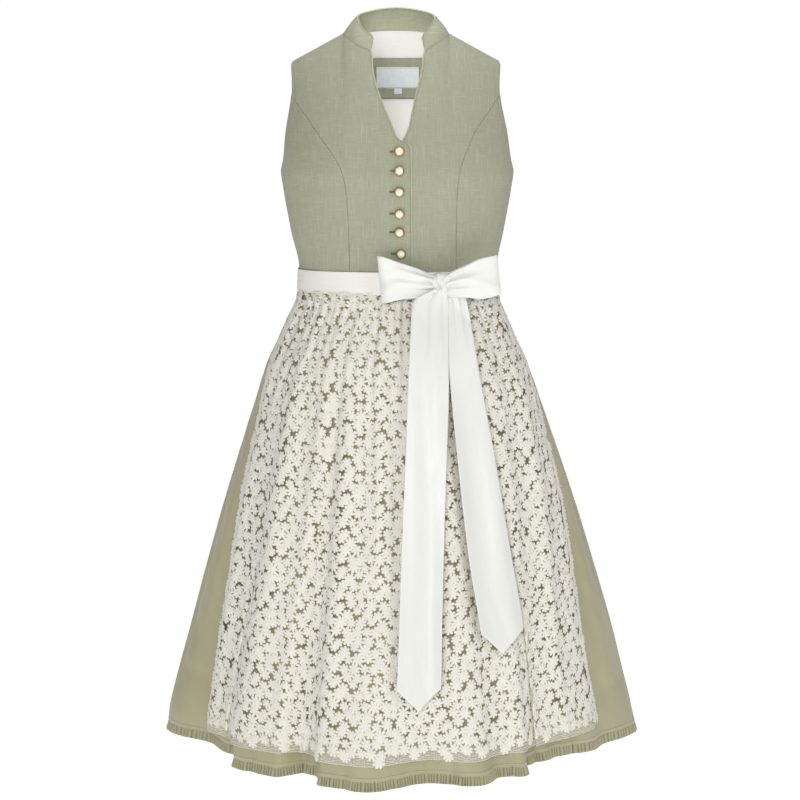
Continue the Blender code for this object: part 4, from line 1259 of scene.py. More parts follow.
def back_panel(columns=2 * PANEL_COLUMNS, rows=PANEL_ROWS):
    """Grid of the back, up its side seams and armholes to the shoulder seams and the neckline."""
    fine = np.linspace(WAIST_SEAM, TIP_HEIGHT, FINE_STEPS)
    edge = body(math.pi - armhole_turn(fine), fine)
    side_height = pick(fine, places_along(edge, dense_top(rows)))
    shares = 2 * dense_ends(columns) - 1
    side_up = ((side_height - WAIST_SEAM) / (TIP_HEIGHT - WAIST_SEAM))[:, None]
    even_up = dense_top(rows)[:, None]
    up = even_up + (side_up - even_up) * np.abs(shares) ** BACK_ROW_BEND
    turn = math.pi - shares * armhole_turn(side_height)[:, None]
    height = np.broadcast_to(WAIST_SEAM + up * (NECK_HEIGHT - WAIST_SEAM), turn.shape)
    for _ in range(NECKLINE_ROUNDS):
        across = np.abs(ring_reach(turn[-1], height[-1]) * np.sin(turn[-1]))
        top = np.where(across < NECK_POINT, back_neckline(across), shoulder_seam_height(across))
        height = WAIST_SEAM + up * (top - WAIST_SEAM)
    grid = body(turn, height)
    grid[:, :, 1] = np.maximum(grid[:, :, 1], SHOULDER_GAP)
    grid = grid[:, ::-1]
    return moved_out(grid, creases(BACK_CREASES, grid[:, :, 0], grid[:, :, 2]), level=True)


def edge_highlight_share(grid, sides):
    """1 on the folded edge itself and 0 beyond its width: the share of the painted highlight where
    light catches the fold.
    """
    return np.clip(EDGE_HIGHLIGHT_CLEAR - edge_distance(grid, sides) / EDGE_HIGHLIGHT_WIDTH, 0, 1)


class DIRNDL_OT_bodice(bpy.types.Operator):
    """Make the linen fronts, side fronts and back, lined inside."""

    bl_idname = "dirndl.bodice"
    bl_label = "Bodice"

    def execute(self, context):
        cloth = context.scene.dirndl_cloth
        used = finishes()
        panels = (
            ("front_right", front_panel(-1), -1, "bodice_front_right", "r", "l"),
            ("front_left", front_panel(1), 0, "bodice_front_left", "l", "r"),
            ("side_front_right", side_panel(-1), -1, "bodice_side_right", "", "r"),
            ("side_front_left", side_panel(1), 0, "bodice_side_left", "", "l"),
            ("back", back_panel(), PANEL_COLUMNS, "bodice_back", "", "lr"),
        )
        for name, grid, anchor, node, open_edges, seams in panels:
            cut = rolled(grid, cloth.seam_roll, SEAM_ROLL_WIDTH, seams)
            if open_edges:
                cut = rolled(cut, cloth.edge_roll, ROLL_WIDTH, open_edges, STITCH_GROOVE)
            made = grid_object(name, cut, cloth_uv(grid, anchor))
            if open_edges:
                # the relief written here is the share of the painted highlight along the open edges
                write_relief(made, edge_highlight_share(cut, open_edges))
            dress_piece(made, used["linen"], [node])
            wall(made, cloth.linen_wall, used["lining"])
        return {"FINISHED"}


COLLAR_ROWS = 26
COLLAR_COLUMNS = 181
COLLAR_END_ROUND = 0.0060
COLLAR_TUCK = 0.035
COLLAR_SWELL = 0.0014
COLLAR_WALL = 0.0019
COLLAR_ROLL_WIDTH = 0.0020
SEAM_STEPS = (60, 120)
SEAM_SOFTENING = 10
NECK_CORNER_GAP = 0.002


def neck_seam():
    """The neckline that the collar is sewn to, from the wearer's right round the back."""
    lines = []
    for side in (-1, 1):
        height = np.linspace(COLLAR_SEAM_START, NECK_HEIGHT, SEAM_STEPS[0])
        across = read(FRONT_EDGES, "left" if side > 0 else "right", height)
        lines.append(body(body_turn(across, height), height))
    right, left = lines
    first, last = right[-1, 0] + NECK_CORNER_GAP, left[-1, 0] - NECK_CORNER_GAP
    across = np.linspace(first, last, SEAM_STEPS[1])
    aside = np.abs(across - read(RINGS, "middle", NECK_HEIGHT))
    height = back_neckline(np.clip(aside, 0, NECK_POINT))
    back = body(body_turn(across, height, behind=True), height)
    seam = np.concatenate([right, back, left[::-1]])
    soft = points_at(seam, places_along(seam, np.linspace(0, 1, COLLAR_COLUMNS)))
    for _ in range(SEAM_SOFTENING):
        soft[1:-1] = (soft[:-2] + 2 * soft[1:-1] + soft[2:]) / 4
    return soft


def collar_grid():
    """The stand collar: it rises from the seam, leans in by the table, swells a little at its
    middle, and each front end is rounded at the top."""
    seam = neck_seam()
    middle = float(read(RINGS, "middle", NECK_HEIGHT))
    turn = np.degrees(np.abs(np.arctan2(seam[:, 0] - middle, -seam[:, 1])))
    top = seam.copy()
    top[:, 0] = (seam[:, 0] - middle) * read(COLLAR, "narrow", turn, "turn") + middle
    top[:, 1] = seam[:, 1] * read(COLLAR, "shallow", turn, "turn")
    way = run_along(seam[None], 1)[0]
    from_end = np.minimum(way, way[-1] - way)
    rounding = np.sqrt(np.clip(1 - (1 - from_end / COLLAR_END_ROUND).clip(0, 1) ** 2, 0, 1))
    rise = read(COLLAR, "rise", turn, "turn") - COLLAR_END_ROUND * (1 - rounding)
    top[:, 2] = seam[:, 2] + rise
    shares = dense_ends(COLLAR_ROWS)[:, None, None]
    # the foot is tucked a little under the neckline
    shares = shares * (1 + COLLAR_TUCK) - COLLAR_TUCK
    grid = blend(seam[None], top[None], shares)[:, ::-1]
    swell = COLLAR_SWELL * np.sin(math.pi * np.clip(shares[:, :, 0], 0, 1))
    return moved_out(grid, swell + 0 * grid[:, :, 0])


class DIRNDL_OT_collar(bpy.types.Operator):
    """Make the stand collar."""

    bl_idname = "dirndl.collar"
    bl_label = "Stand collar"

    def execute(self, context):
        cloth = context.scene.dirndl_cloth
        used = finishes()
        grid = collar_grid()
        cut = rolled(grid, cloth.edge_roll, COLLAR_ROLL_WIDTH, "lrt", STITCH_GROOVE)
        made = grid_object("collar", cut, cloth_uv(grid, COLLAR_COLUMNS // 2))
        # the relief written here is the share of the painted highlight along the collar's edges
        write_relief(made, edge_highlight_share(cut, "lrt"))
        dress_piece(made, used["linen"], ["stand_collar"])
        wall(made, COLLAR_WALL)
        return {"FINISHED"}


# Patches inside the back, in the order facing, label and tab: half width, middle across, top,
# foot, and how far each lies in from the back
PATCHES = table(
    "half_width middle top foot inside",
    [
        (0.0720, 0.0000, -0.0150, -0.0735, 0.0052),
        (0.0310, -0.0015, -0.0270, -0.0570, 0.0064),
        (0.0055, -0.0010, -0.0575, -0.0655, 0.0066),
    ],
)
PATCH_COLUMNS = 40
PATCH_ROWS = 20
PATCH_WALL = 0.0006
LINING_INSIDE = 0.0034
LINING_COLUMNS = 64
LINING_TRIM = 3


def back_patch(row, raised=0.0):
    """Grid of a patch inside the back: its rectangle laid on the back and moved in."""
    patch = {name: values[row] for name, values in PATCHES.items()}
    across = patch["middle"] + patch["half_width"] * np.linspace(1, -1, PATCH_COLUMNS)
    height = np.linspace(patch["foot"], patch["top"], PATCH_ROWS)[:, None]
    across, height = np.broadcast_arrays(across, height)
    laid = body(body_turn(across, height, behind=True), height)
    return moved_out(laid, -patch["inside"] - raised)


class DIRNDL_OT_inside(bpy.types.Operator):
    """Make the lining, the linen strip, the bare label and its tab inside the back."""

    bl_idname = "dirndl.inside"
    bl_label = "Inside of the back"

    def execute(self, context):
        back = moved_out(back_panel(LINING_COLUMNS, LINING_COLUMNS), -LINING_INSIDE)
        pieces = (
            ("lining_back", back[:, LINING_TRIM:-LINING_TRIM], "lining", "white_lining", "back_lining"),
            ("facing_cloth", back_patch(0), "linen", "sage_linen", "back_facing"),
            ("label_cloth", back_patch(1), "tape", "white_tape", "neck_label"),
            ("tab_cloth", back_patch(2), "tape", "white_tape", "size_tab"),
        )
        made = []
        for name, grid, finish, slot, node in pieces:
            made.append(grid_object(name, grid, cloth_uv(grid)))
            dress_piece(made[-1], finishes()[finish], [node])
            wall(made[-1], PATCH_WALL)
        return {"FINISHED"}


# ---------------------------------------------------------------- buttons

# Half sections of a button as shares of its radius and of its height
RIM_PROFILE = (
    (0.00, 0.02),
    (0.80, 0.00),
    (0.93, 0.10),
    (1.00, 0.26),
    (1.00, 0.36),
    (0.95, 0.47),
    (0.88, 0.52),
    (0.81, 0.48),
    (0.78, 0.38),
    (0.60, 0.36),
    (0.00, 0.36),
)
PEARL_PROFILE = (
    (0.78, 0.36),
    (0.775, 0.48),
    (0.72, 0.64),
    (0.60, 0.80),
    (0.44, 0.91),
    (0.24, 0.98),
    (0.0001, 1.00),
)
BUTTON_HEIGHT = 0.0072
BUTTON_ACROSS = 0.001
LOWEST_ACROSS = 0.003
SEAT_REACH = 0.003
SEAT_GAP = 0.0002


def button_seats():
    """Places and outward frames of the six buttons on the closing front."""
    heights = np.array(BUTTON_HEIGHTS)
    across = np.full(len(heights), BUTTON_ACROSS)
    across[-1] = LOWEST_ACROSS
    near = np.array([-SEAT_REACH, 0.0, SEAT_REACH])
    seats = []
    for x, z in zip(across, heights, strict=True):
        xs, zs = np.broadcast_arrays(x + near[None, :], z + near[:, None])
        patch = body(body_turn(xs, zs), zs)
        patch = moved_out(patch, OVERLAP_LIFT + 0 * xs, level=True)
        seats.append((patch[1, 1], outward(patch)[1, 1]))
    origins = np.array([s[0] for s in seats])
    normal = np.array([s[1] for s in seats])
    right = unit(np.cross(np.array([0.0, 0.0, 1.0]), normal))
    up = np.cross(normal, right)
    return origins + normal * SEAT_GAP, np.stack([right, up, normal], axis=1)


def turned(profile, radius, height, sides):
    """Points and faces of a profile turned round Z, from its foot up and inwards."""
    turn = np.linspace(0, 2 * math.pi, sides, endpoint=False)
    out, up = np.array(profile).T[:, :, None] * [[[radius]], [[height]]]
    points = np.stack([out * np.cos(turn), out * np.sin(turn), up + 0 * turn], axis=-1)
    index = np.arange(len(profile) * sides).reshape(len(profile), sides)
    return points.reshape(-1, 3), quads(np.concatenate([index, index[:, :1]], axis=1))


class DIRNDL_OT_buttons(bpy.types.Operator):
    """Make the six pearl buttons in brass rims."""

    bl_idname = "dirndl.buttons"
    bl_label = "Buttons"

    def execute(self, context):
        settings = context.scene.dirndl_buttons
        used = finishes()
        origins, frames = button_seats()
        nodes = [f"button_{n}" for n in range(1, len(origins) + 1)]
        for name, profile, finish, stands_for in (
            ("button_rims", RIM_PROFILE, "brass", nodes),
            ("button_pearls", PEARL_PROFILE, "pearl", []),
        ):
            points, faces = turned(profile, settings.radius, BUTTON_HEIGHT, settings.sides)
            made = copies(name, points, faces, origins, frames)
            dress_piece(made, used[finish], stands_for)
        return {"FINISHED"}


# ---------------------------------------------------------------- the skirt

SKIRT_ROWS = 96
SKIRT_COLUMNS = 290
SKIRT_TOP = -0.3253
GATHER_TURNS = 62  # gathers for each radian round the waist
SIDE_DEGREES = (52, 70)
# Depth of the gathers, and how far down they run
SIDE_GATHERS = (0.0016, 0.16)
BACK_GATHERS = (0.0024, 0.26)
GATHER_LAP = 0.002
# Waves of the gathers: how they drift round the waist and how uneven they are
GATHER_DRIFT = ((0.35, 5, 9, 0.0), (0.2, 11, 0, 2.0))
GATHER_SWAY = (4, 3)
SECOND_GATHER = (0.5, 0.61, 1.3)
GATHER_EVEN = 0.7
GATHER_UNEVEN = ((0.3, 3.7, 0, 0.6),)
GATHER_START = 14
GATHER_FADE = 1.4
# Crumples of the cotton by turn and height: two crossed waves, each bent by another
DENT_RATES = ((31, 60, 0.0), (0, 44, 0.8))
DENT_BENDS = (((2, 0, 25, 0.0),), ((1.7, 9, 0, 0.0),))
DENT_DEPTH = 0.00090
SEAM_TURN = 0.05
# A crease's turn is in degrees, and this many of them are as long as a metre
DEGREES_A_METRE = 190.0
GRAIN_TOP = 0.2345
GRAIN_SPREAD = 0.096
PLEAT = 0.0042  # pleat to pleat along the hem, in front and behind
SIDE_PLEAT = 0.0030  # added to it at the sides
SIDE_BLEND = (0.9, 0.1)  # radians from the side over which that is blended in
PLEAT_STEPS = 8
FRILL_ROWS = 9
# The pleated strip: its pleats' drift, their depth at the seam and what is added at the foot, how
# the depth beats along the hem, how far the strip sits in, and how far its foot flares
PLEAT_DRIFT = ((0.18, 1.7, 0, 0.0), (0.12, 0.63, 0, 0.0))
PLEAT_DEPTH = (0.0002, 0.0019)
PLEAT_OPENING = 0.6
PLEAT_BEAT = ((0.25, 0.41, 0, 0.0),)
FRILL_IN = 0.0014
FRILL_FLARE = 0.0026
CREST_SHAPE = 0.7
CREST_DROP = 0.05


def gathers(turn, height, count, depth, drop):
    """Small uneven gathers that start full below the band and fade on the way down: three waves
    round the waist whose beats drift, so that no two gathers are alike."""
    below = np.clip((BAND_FOOT + GATHER_LAP - height) / drop, 0, 1)
    fade = np.sqrt(np.clip(below * GATHER_START, 0, 1)) * (1 - below) ** GATHER_FADE
    drift = waves(GATHER_DRIFT, turn, height)
    share, rate, start = SECOND_GATHER
    first = np.sin(count * turn + GATHER_SWAY[0] * drift)
    second = share * np.sin(count * rate * turn + start + GATHER_SWAY[1] * drift)
    uneven = GATHER_EVEN + waves(GATHER_UNEVEN, turn)
    return depth * fade * uneven * (first + second)


def skirt_half(front):
    """Grid of the skirt's front or back: the folded form with creases, and gathers behind."""
    half = math.pi / 2
    low, high = (-half, half) if front else (half, 3 * half)
    turns = np.linspace(low, high, SKIRT_COLUMNS)
    turns = np.where(turns > math.pi, turns - 2 * math.pi, turns)[None, :]
    heights = np.linspace(SKIRT_HEM, SKIRT_TOP, SKIRT_ROWS)[:, None]
    grid = skirt(turns, heights)
    degrees = np.degrees(turns)
    out = creases(SKIRT_CREASES, degrees, heights, ("turn", "height"), DEGREES_A_METRE)
    seam = np.minimum(np.abs(np.abs(turns) - half) / SEAM_TURN, 1)
    if front:
        side = ease(*SIDE_DEGREES, np.abs(degrees))
        out = out + side * gathers(turns, heights, GATHER_TURNS, *SIDE_GATHERS)
    else:
        out = out + gathers(turns, heights, GATHER_TURNS, *BACK_GATHERS)
    dents = 1.0
    for (by_turn, by_height, start), bend in zip(DENT_RATES, DENT_BENDS, strict=True):
        bent = start + waves(bend, turns, heights)
        dents = dents * np.sin(by_turn * turns + by_height * heights + bent)
    return moved_out(grid, (out + DENT_DEPTH * dents) * seam, level=True)


def frill_grid(hem):
    """The pleated strip under a hem: pleats with round crests and sharp valleys, closer together
    in front and behind than at the sides, tight at the seam and open at the foot."""
    way = run_along(hem[None], 1)[0]
    middle = read(RINGS, "middle", SKIRT_HEM)
    from_side = np.abs(np.arctan2(hem[:, 0] - middle, -np.abs(hem[:, 1]))) - math.pi / 2
    pitch = PLEAT + SIDE_PLEAT * ease(*SIDE_BLEND, np.abs(from_side))
    count = np.concatenate([[0], np.cumsum(np.diff(way) / pitch[1:])])
    total = int(count[-1])
    beat = np.linspace(0, total, total * PLEAT_STEPS + 1)
    places = np.interp(beat * count[-1] / total, count, np.arange(len(hem)))
    line = points_at(hem, places)
    along = np.gradient(line, axis=0)
    out = unit(np.stack([along[:, 1], -along[:, 0], 0 * along[:, 2]], axis=-1))
    drifted = beat + waves(PLEAT_DRIFT, beat)
    wave = 2 * np.abs(np.sin(math.pi * drifted)) ** CREST_SHAPE - 1
    down = np.linspace(1, 0, FRILL_ROWS)[:, None]
    deep = (PLEAT_DEPTH[0] + PLEAT_DEPTH[1] * down**PLEAT_OPENING) * (1 + waves(PLEAT_BEAT, beat))
    shift = deep * wave - FRILL_IN + FRILL_FLARE * down
    drop = (FRILL_DROP + FRILL_TUCK) * down * (1 - CREST_DROP * wave * down) - FRILL_TUCK
    grid = line[None] + out[None] * shift[..., None]
    grid[..., 2] -= drop
    # the ends lap past the side seams
    for end, inner in ((0, 1), (-1, -2)):
        past = line[end] - line[inner]
        grid[:, end] += FRILL_LAP * past / np.linalg.norm(past)
    return grid, np.broadcast_to((wave + 1) / 2, grid.shape[:2])


class DIRNDL_OT_skirt(bpy.types.Operator):
    """Make the cotton skirt and the pleated strip at its hem."""

    bl_idname = "dirndl.skirt"
    bl_label = "Skirt"

    def execute(self, context):
        cloth = context.scene.dirndl_cloth
        used = finishes()
        for name, front in (("front", True), ("back", False)):
            grid = skirt_half(front)
            # threads keep their number round the skirt and spread towards the hem
            way = np.linspace(1, 0, SKIRT_ROWS)[:, None]
            unwrapped = np.linspace(-math.pi / 2, math.pi / 2, SKIRT_COLUMNS)[None, :]
            across = unwrapped * (GRAIN_TOP + GRAIN_SPREAD * way)
            uv = np.stack(np.broadcast_arrays(across, grid[:, :, 2]), axis=-1)
            made = grid_object(f"skirt_{name}_cloth", grid, uv)
            dress_piece(made, used["cotton"], [f"skirt_{name}"])
            wall(made, cloth.cotton_wall)
            strip, crest = frill_grid(grid[0])
            frill = grid_object(f"frill_{name}", strip, cloth_uv(strip))
            # the crest share drives the painted shade between the pleats
            write_relief(frill, crest)
            dress_piece(frill, used["pleats"], [f"hem_frill_{name}"])
            wall(frill, cloth.frill_wall)
        return {"FINISHED"}


# ---------------------------------------------------------------- the apron

APRON_ROWS = 300
APRON_COLUMNS = 420
APRON_SPAN = 14
APRON_GATHERS = 68
GATHER_DEPTH = 0.0028
GATHER_RUN = 0.26
GATHER_REST = 0.0016
FOLD_STRENGTH = 1.35
FOLD_STRETCH = 3.5
APRON_OUT = 0.0018
TOP_TUCK = 0.0014
TOP_TUCK_RUN = 0.006
FOLD_SHARE = 0.55
FOLD_OPENING = (0.36, 0.62)
FOLD_RUN = 0.010
APRON_EDGE = 0.08
APRON_TOP = BAND_FOOT + 0.0025
EDGE_TURN_LIMIT = math.radians(82.0)
HALVINGS = 30

# One repeat of the lace: each flower's place across and up as shares of the repeat, and whether
# it is a large one
FLOWERS = table(
    "across up large",
    [
        (0.060, 0.10, 1),
        (0.195, 0.15, 0),
        (0.325, 0.06, 1),
        (0.452, 0.17, 0),
        (0.590, 0.11, 1),
        (0.735, 0.05, 0),
        (0.870, 0.12, 1),
        (0.975, 0.34, 0),
        (0.128, 0.37, 1),
        (0.262, 0.31, 0),
        (0.395, 0.36, 1),
        (0.530, 0.38, 0),
        (0.655, 0.32, 1),
        (0.800, 0.34, 0),
        (0.915, 0.39, 0),
        (0.065, 0.62, 0),
        (0.200, 0.64, 1),
        (0.335, 0.58, 0),
        (0.470, 0.61, 1),
        (0.600, 0.60, 0),
        (0.725, 0.63, 1),
        (0.860, 0.58, 0),
        (0.980, 0.60, 1),
        (0.020, 0.87, 1),
        (0.140, 0.89, 0),
        (0.275, 0.86, 1),
        (0.410, 0.84, 0),
        (0.540, 0.87, 1),
        (0.670, 0.89, 0),
        (0.805, 0.82, 1),
        (0.935, 0.86, 0),
    ],
)


def apron_turns(heights):
    """Angles of the apron's two edges at each height, where the skirt reaches their places."""
    found = []
    for side, column in ((-1, "right"), (1, "left")):
        target = np.abs(read(APRON_EDGES, column, heights))
        low = np.zeros(len(heights))
        high = np.full(len(heights), EDGE_TURN_LIMIT)
        for _ in range(HALVINGS):
            middle = (low + high) / 2
            near = side * skirt(side * middle, heights)[:, 0] < target
            low, high = np.where(near, middle, low), np.where(near, high, middle)
        found.append(side * low)
    return found


@functools.cache
def apron_surface():
    """Grid of the apron: the skirt's form with its troughs bridged, moved out by gathers under
    the band and by long folds that open towards the hem."""
    heights = np.linspace(APRON_HEM, APRON_TOP, APRON_ROWS)
    right, left = apron_turns(heights)
    share = np.linspace(0, 1, APRON_COLUMNS)[None, :]
    turns = blend(right[:, None], left[:, None], share)
    level = np.repeat(heights[:, None], APRON_COLUMNS, axis=1)
    base, hung = skirt(turns, level), skirt(turns, level, APRON_BRIDGE)
    hung_reach = np.linalg.norm(hung[:, :, :2], axis=-1)
    # hung from crest to crest: the mean reach of the neighbours on both sides
    ends = np.pad(hung_reach, ((0, 0), (APRON_SPAN, APRON_SPAN)), mode="edge")
    windows = np.lib.stride_tricks.sliding_window_view(ends, 2 * APRON_SPAN + 1, axis=1)
    bridge = windows.mean(axis=-1) - np.linalg.norm(base[:, :, :2], axis=-1)
    below = BAND_FOOT - level
    edge = ease(0, APRON_EDGE, np.minimum(share, 1 - share))
    fine = gathers(turns, level, APRON_GATHERS, GATHER_DEPTH, GATHER_RUN)
    folds = creases(APRON_FOLDS, 2 * share - 1 + 0 * level, level, ("share", "height"), FOLD_STRETCH)
    opening = blend(FOLD_SHARE, 1, ease(*FOLD_OPENING, -level)) * ease(0, FOLD_RUN, below)
    lifted = np.maximum(bridge, 0) + np.maximum(fine + GATHER_REST, 0)
    lifted = lifted + FOLD_STRENGTH * folds * opening
    tucked = TOP_TUCK * (1 - ease(0, TOP_TUCK_RUN, below))
    return moved_out(base, APRON_OUT - tucked + lifted * edge, level=True)


class LaceMap:
    """Places on the apron by distance across from its middle column and up from its hem."""

    step = 0.0015

    def __init__(self, grid):
        way = run_along(grid, 1)
        middle = grid.shape[1] // 2
        self.way = way - way[:, [middle]]
        self.up = run_along(grid, 0).mean(axis=1)
        reach = np.abs(self.way).max()
        self.across = np.arange(-reach, reach + self.step, self.step)
        values = np.concatenate([grid, outward(grid)], axis=-1)
        rows = zip(self.way, values, strict=True)
        lines = [[np.interp(self.across, w, column) for column in v.T] for w, v in rows]
        self.lines = np.array(lines).transpose(0, 2, 1)

    def edges(self, up):
        """Reach of the lace to each side at a distance up from the hem."""
        return np.interp(up, self.up, self.way[:, 0]), np.interp(up, self.up, self.way[:, -1])

    def at(self, across, up, high):
        """Points that stand off the lace by high, read between the rows and columns."""
        row = np.interp(up, self.up, np.arange(len(self.up)))
        found = read_grid(self.lines, row, (across - self.across[0]) / self.step)
        below = np.stack([0 * up, 0 * up, np.minimum(up, 0)], axis=-1)
        return found[..., :3] + found[..., 3:] * np.asarray(high)[..., None] + below


# Points of one petal: its share of the way round to the next petal, its distance from the middle
# as a share of the radius, and its height in millimetres
PETAL = {
    "inner": (0.00, 0.24, 0.40),
    "valley": (0.00, 0.62, 0.00),
    "first": (0.17, 0.94, 0.22),
    "tip": (0.50, 1.02, 0.18),
    "last": (0.83, 0.94, 0.22),
    "ridge": (0.50, 0.64, 1.00),
}
BOSS_HEIGHT = 1.25


def flower_shape(petals):
    """One daisy of radius 1, in millimetres of height: a round boss and petals with round ends,
    each a low cushion of seven triangles about its ridge."""
    number = np.arange(petals)
    rings, points = {}, [np.array([[0.0, 0.0, BOSS_HEIGHT]])]
    for k, (name, (share, reach, high)) in enumerate(PETAL.items()):
        turn = (number + share) * 2 * math.pi / petals
        ring = [reach * np.cos(turn), reach * np.sin(turn), 0 * turn + high]
        points.append(np.stack(ring, axis=-1))
        rings[name] = 1 + k * petals + number
    for name in ("valley", "inner"):
        rings[f"next_{name}"] = np.roll(rings[name], -1)
    around = ("inner", "valley", "first", "tip", "last", "next_valley", "next_inner", "inner")
    faces = [
        np.stack([rings["ridge"], rings[one], rings[two]], axis=-1)
        for one, two in zip(around[:-1], around[1:], strict=True)
    ]
    faces.append(np.stack([0 * number, rings["inner"], rings["next_inner"]], axis=-1))
    return np.concatenate(points), np.concatenate(faces)


# Flowers keep clear of the side edges and the hem, whose own rows of flowers stand this far apart
# and this far in, and each strays a little from its place in the repeat
SIDE_MARGIN = 0.0135
HEM_MARGIN = 0.0125
TOP_MARGIN = 0.004
EDGE_PITCH = 0.0112
EDGE_INSET = 0.0078
EDGE_START = 0.006
EDGE_STAGGER = 0.004
EDGE_CYCLE = 3  # every third flower of a side row is a small one
STRAY_ACROSS = ((0.0015, 12.99, 0, 0.0),)
STRAY_UP = ((0.0013, 78.23, 0, 0.0),)

# Large flowers that reach over the hem: place across from the middle, and height above the hem
HEM_FLOWERS = (
    (-0.262, 0.010),
    (-0.214, 0.008),
    (-0.168, 0.011),
    (-0.117, 0.006),
    (-0.070, 0.011),
    (-0.026, 0.006),
    (0.026, 0.010),
    (0.072, 0.006),
    (0.120, 0.011),
    (0.163, 0.008),
    (0.215, 0.010),
    (0.268, 0.009),
)


def flower_places(lace, settings):
    """Places of all flowers: the repeat laid over the apron, a row down each side edge and a
    scalloped row along the hem."""
    wide, tall = settings.repeat_across, settings.repeat_up
    reach, rise = np.abs(lace.way).max(), lace.up[-1]
    columns = np.arange(-math.ceil(reach / wide) - 1, math.ceil(reach / wide) + 1)
    rows = np.arange(0, math.ceil(rise / tall) + 1)
    across = (columns[:, None, None] + FLOWERS["across"]) * wide
    up = (rows[None, :, None] + FLOWERS["up"]) * tall
    places = np.broadcast_arrays(across, up, FLOWERS["large"])
    across, up, large = (place.ravel() for place in places)
    right, left = lace.edges(up)
    number = np.arange(len(across))
    across = across + waves(STRAY_ACROSS, number)
    up = up + waves(STRAY_UP, number)
    inside = (across > right + SIDE_MARGIN) & (across < left - SIDE_MARGIN)
    inside = inside & (up > HEM_MARGIN) & (up < rise + TOP_MARGIN)
    found = [np.stack([across, up, large], axis=-1)[inside]]
    side_up = np.arange(EDGE_START, rise + EDGE_STAGGER / 2, EDGE_PITCH)
    big = np.arange(len(side_up)) % EDGE_CYCLE > 0
    right, left = lace.edges(side_up)
    found.append(np.stack([right + EDGE_INSET, side_up, big], axis=-1))
    found.append(np.stack([left - EDGE_INSET, side_up + EDGE_STAGGER, big], axis=-1))
    hem = np.array(HEM_FLOWERS)
    found.append(np.column_stack([hem, np.ones(len(hem))]))
    return np.concatenate(found)


# A turn that never repeats, how the flowers' sizes and tilts vary from one to the next, and how
# they stand off the net and overlap
GOLDEN_ANGLE = 2.399
FLOWER_SIZE = 0.95
FLOWER_SIZES = ((0.07, 1.9, 0, 0.0),)
TILT_ACROSS = ((0.05, 2.7, 0, 0.0),)
TILT_UP = ((0.05, 1.3, 0, math.pi / 2),)
FLOWER_OUT = 0.0004
PETAL_HEIGHT = 0.0012
LAYERS = 4
LAYER_STEP = 0.00025


def lace_flowers(lace, settings):
    """Two meshes of flowers, large and small, bent onto the apron and turned each its own way."""
    places = flower_places(lace, settings)
    made = []
    for name, large, petals, radius in (
        ("lace_large_flowers", True, 8, settings.large_flower),
        ("lace_small_flowers", False, 7, settings.small_flower),
    ):
        chosen = places[(places[:, 2] > 0.5) == large]
        shape, faces = flower_shape(petals)
        number = np.arange(len(chosen))[:, None]
        turn = number * GOLDEN_ANGLE
        size = radius * (FLOWER_SIZE + waves(FLOWER_SIZES, number))
        x = size * (shape[:, 0] * np.cos(turn) - shape[:, 1] * np.sin(turn))
        y = size * (shape[:, 0] * np.sin(turn) + shape[:, 1] * np.cos(turn))
        tilt = x * waves(TILT_ACROSS, number) + y * waves(TILT_UP, number)
        high = FLOWER_OUT + PETAL_HEIGHT * shape[:, 2] + tilt + LAYER_STEP * (number % LAYERS)
        points = lace.at(chosen[:, :1] + x, chosen[:, 1:2] + y, high)
        offsets = number[:, :, None] * len(shape)
        flowers = mesh_object(name, points.reshape(-1, 3), (faces[None] + offsets).reshape(-1, 3))
        # the heights of the petals drive the painted shade in the dips of each flower
        write_relief(flowers, np.tile(shape[:, 2], len(chosen)))
        made.append(flowers)
    return made


CORD_RADIUS = 0.00032
CORD_OUT = 0.0006
CORD_STEP = 0.0016
CORD_MARGIN = 0.004
# Scalloped cords along the hem: foot, rise, length of a scallop, its drift and start, and power
CORD_FOOT = 0.0008
CORD_DRIFT = (0.6, 0.047)
CORDS = (
    (0.0024, 0.0036, 0.034, 1, 0.0, 1.0),
    (0.0046, 0.0052, 0.034, 1, 0.0, 0.8),
    (0.0080, 0.0060, 0.051, 1, math.pi / 2, 1.0),
    (0.0120, 0.0060, 0.043, -1, 0.0, 1.0),
)


def lace_cord(name, lace, lines):
    """Fine cords laid on the lace: each line is swept by a four-sided round."""
    parts, faces, start = [], [], 0
    quarters = np.arange(4) * math.pi / 2
    for across, up in lines:
        centre = lace.at(across, up, np.full(len(across), CORD_OUT))
        run = unit(np.gradient(centre, axis=0))
        off = unit(lace.at(across, up, np.full(len(across), 2 * CORD_OUT)) - centre)
        side = np.cross(off, run)
        ring = [math.cos(a) * side + math.sin(a) * off for a in quarters]
        tube = centre[:, None] + CORD_RADIUS * np.stack(ring, axis=1)
        index = start + np.arange(len(across) * 4).reshape(-1, 4)
        around = np.roll(index, -1, axis=1)
        sides = np.stack([index[:-1], around[:-1], around[1:], index[1:]], axis=-1).reshape(-1, 4)
        parts.append(tube.reshape(-1, 3))
        faces += [sides, index[[0]][:, ::-1], index[[-1]]]
        start += len(across) * 4
    return mesh_object(name, np.concatenate(parts), np.concatenate(faces))


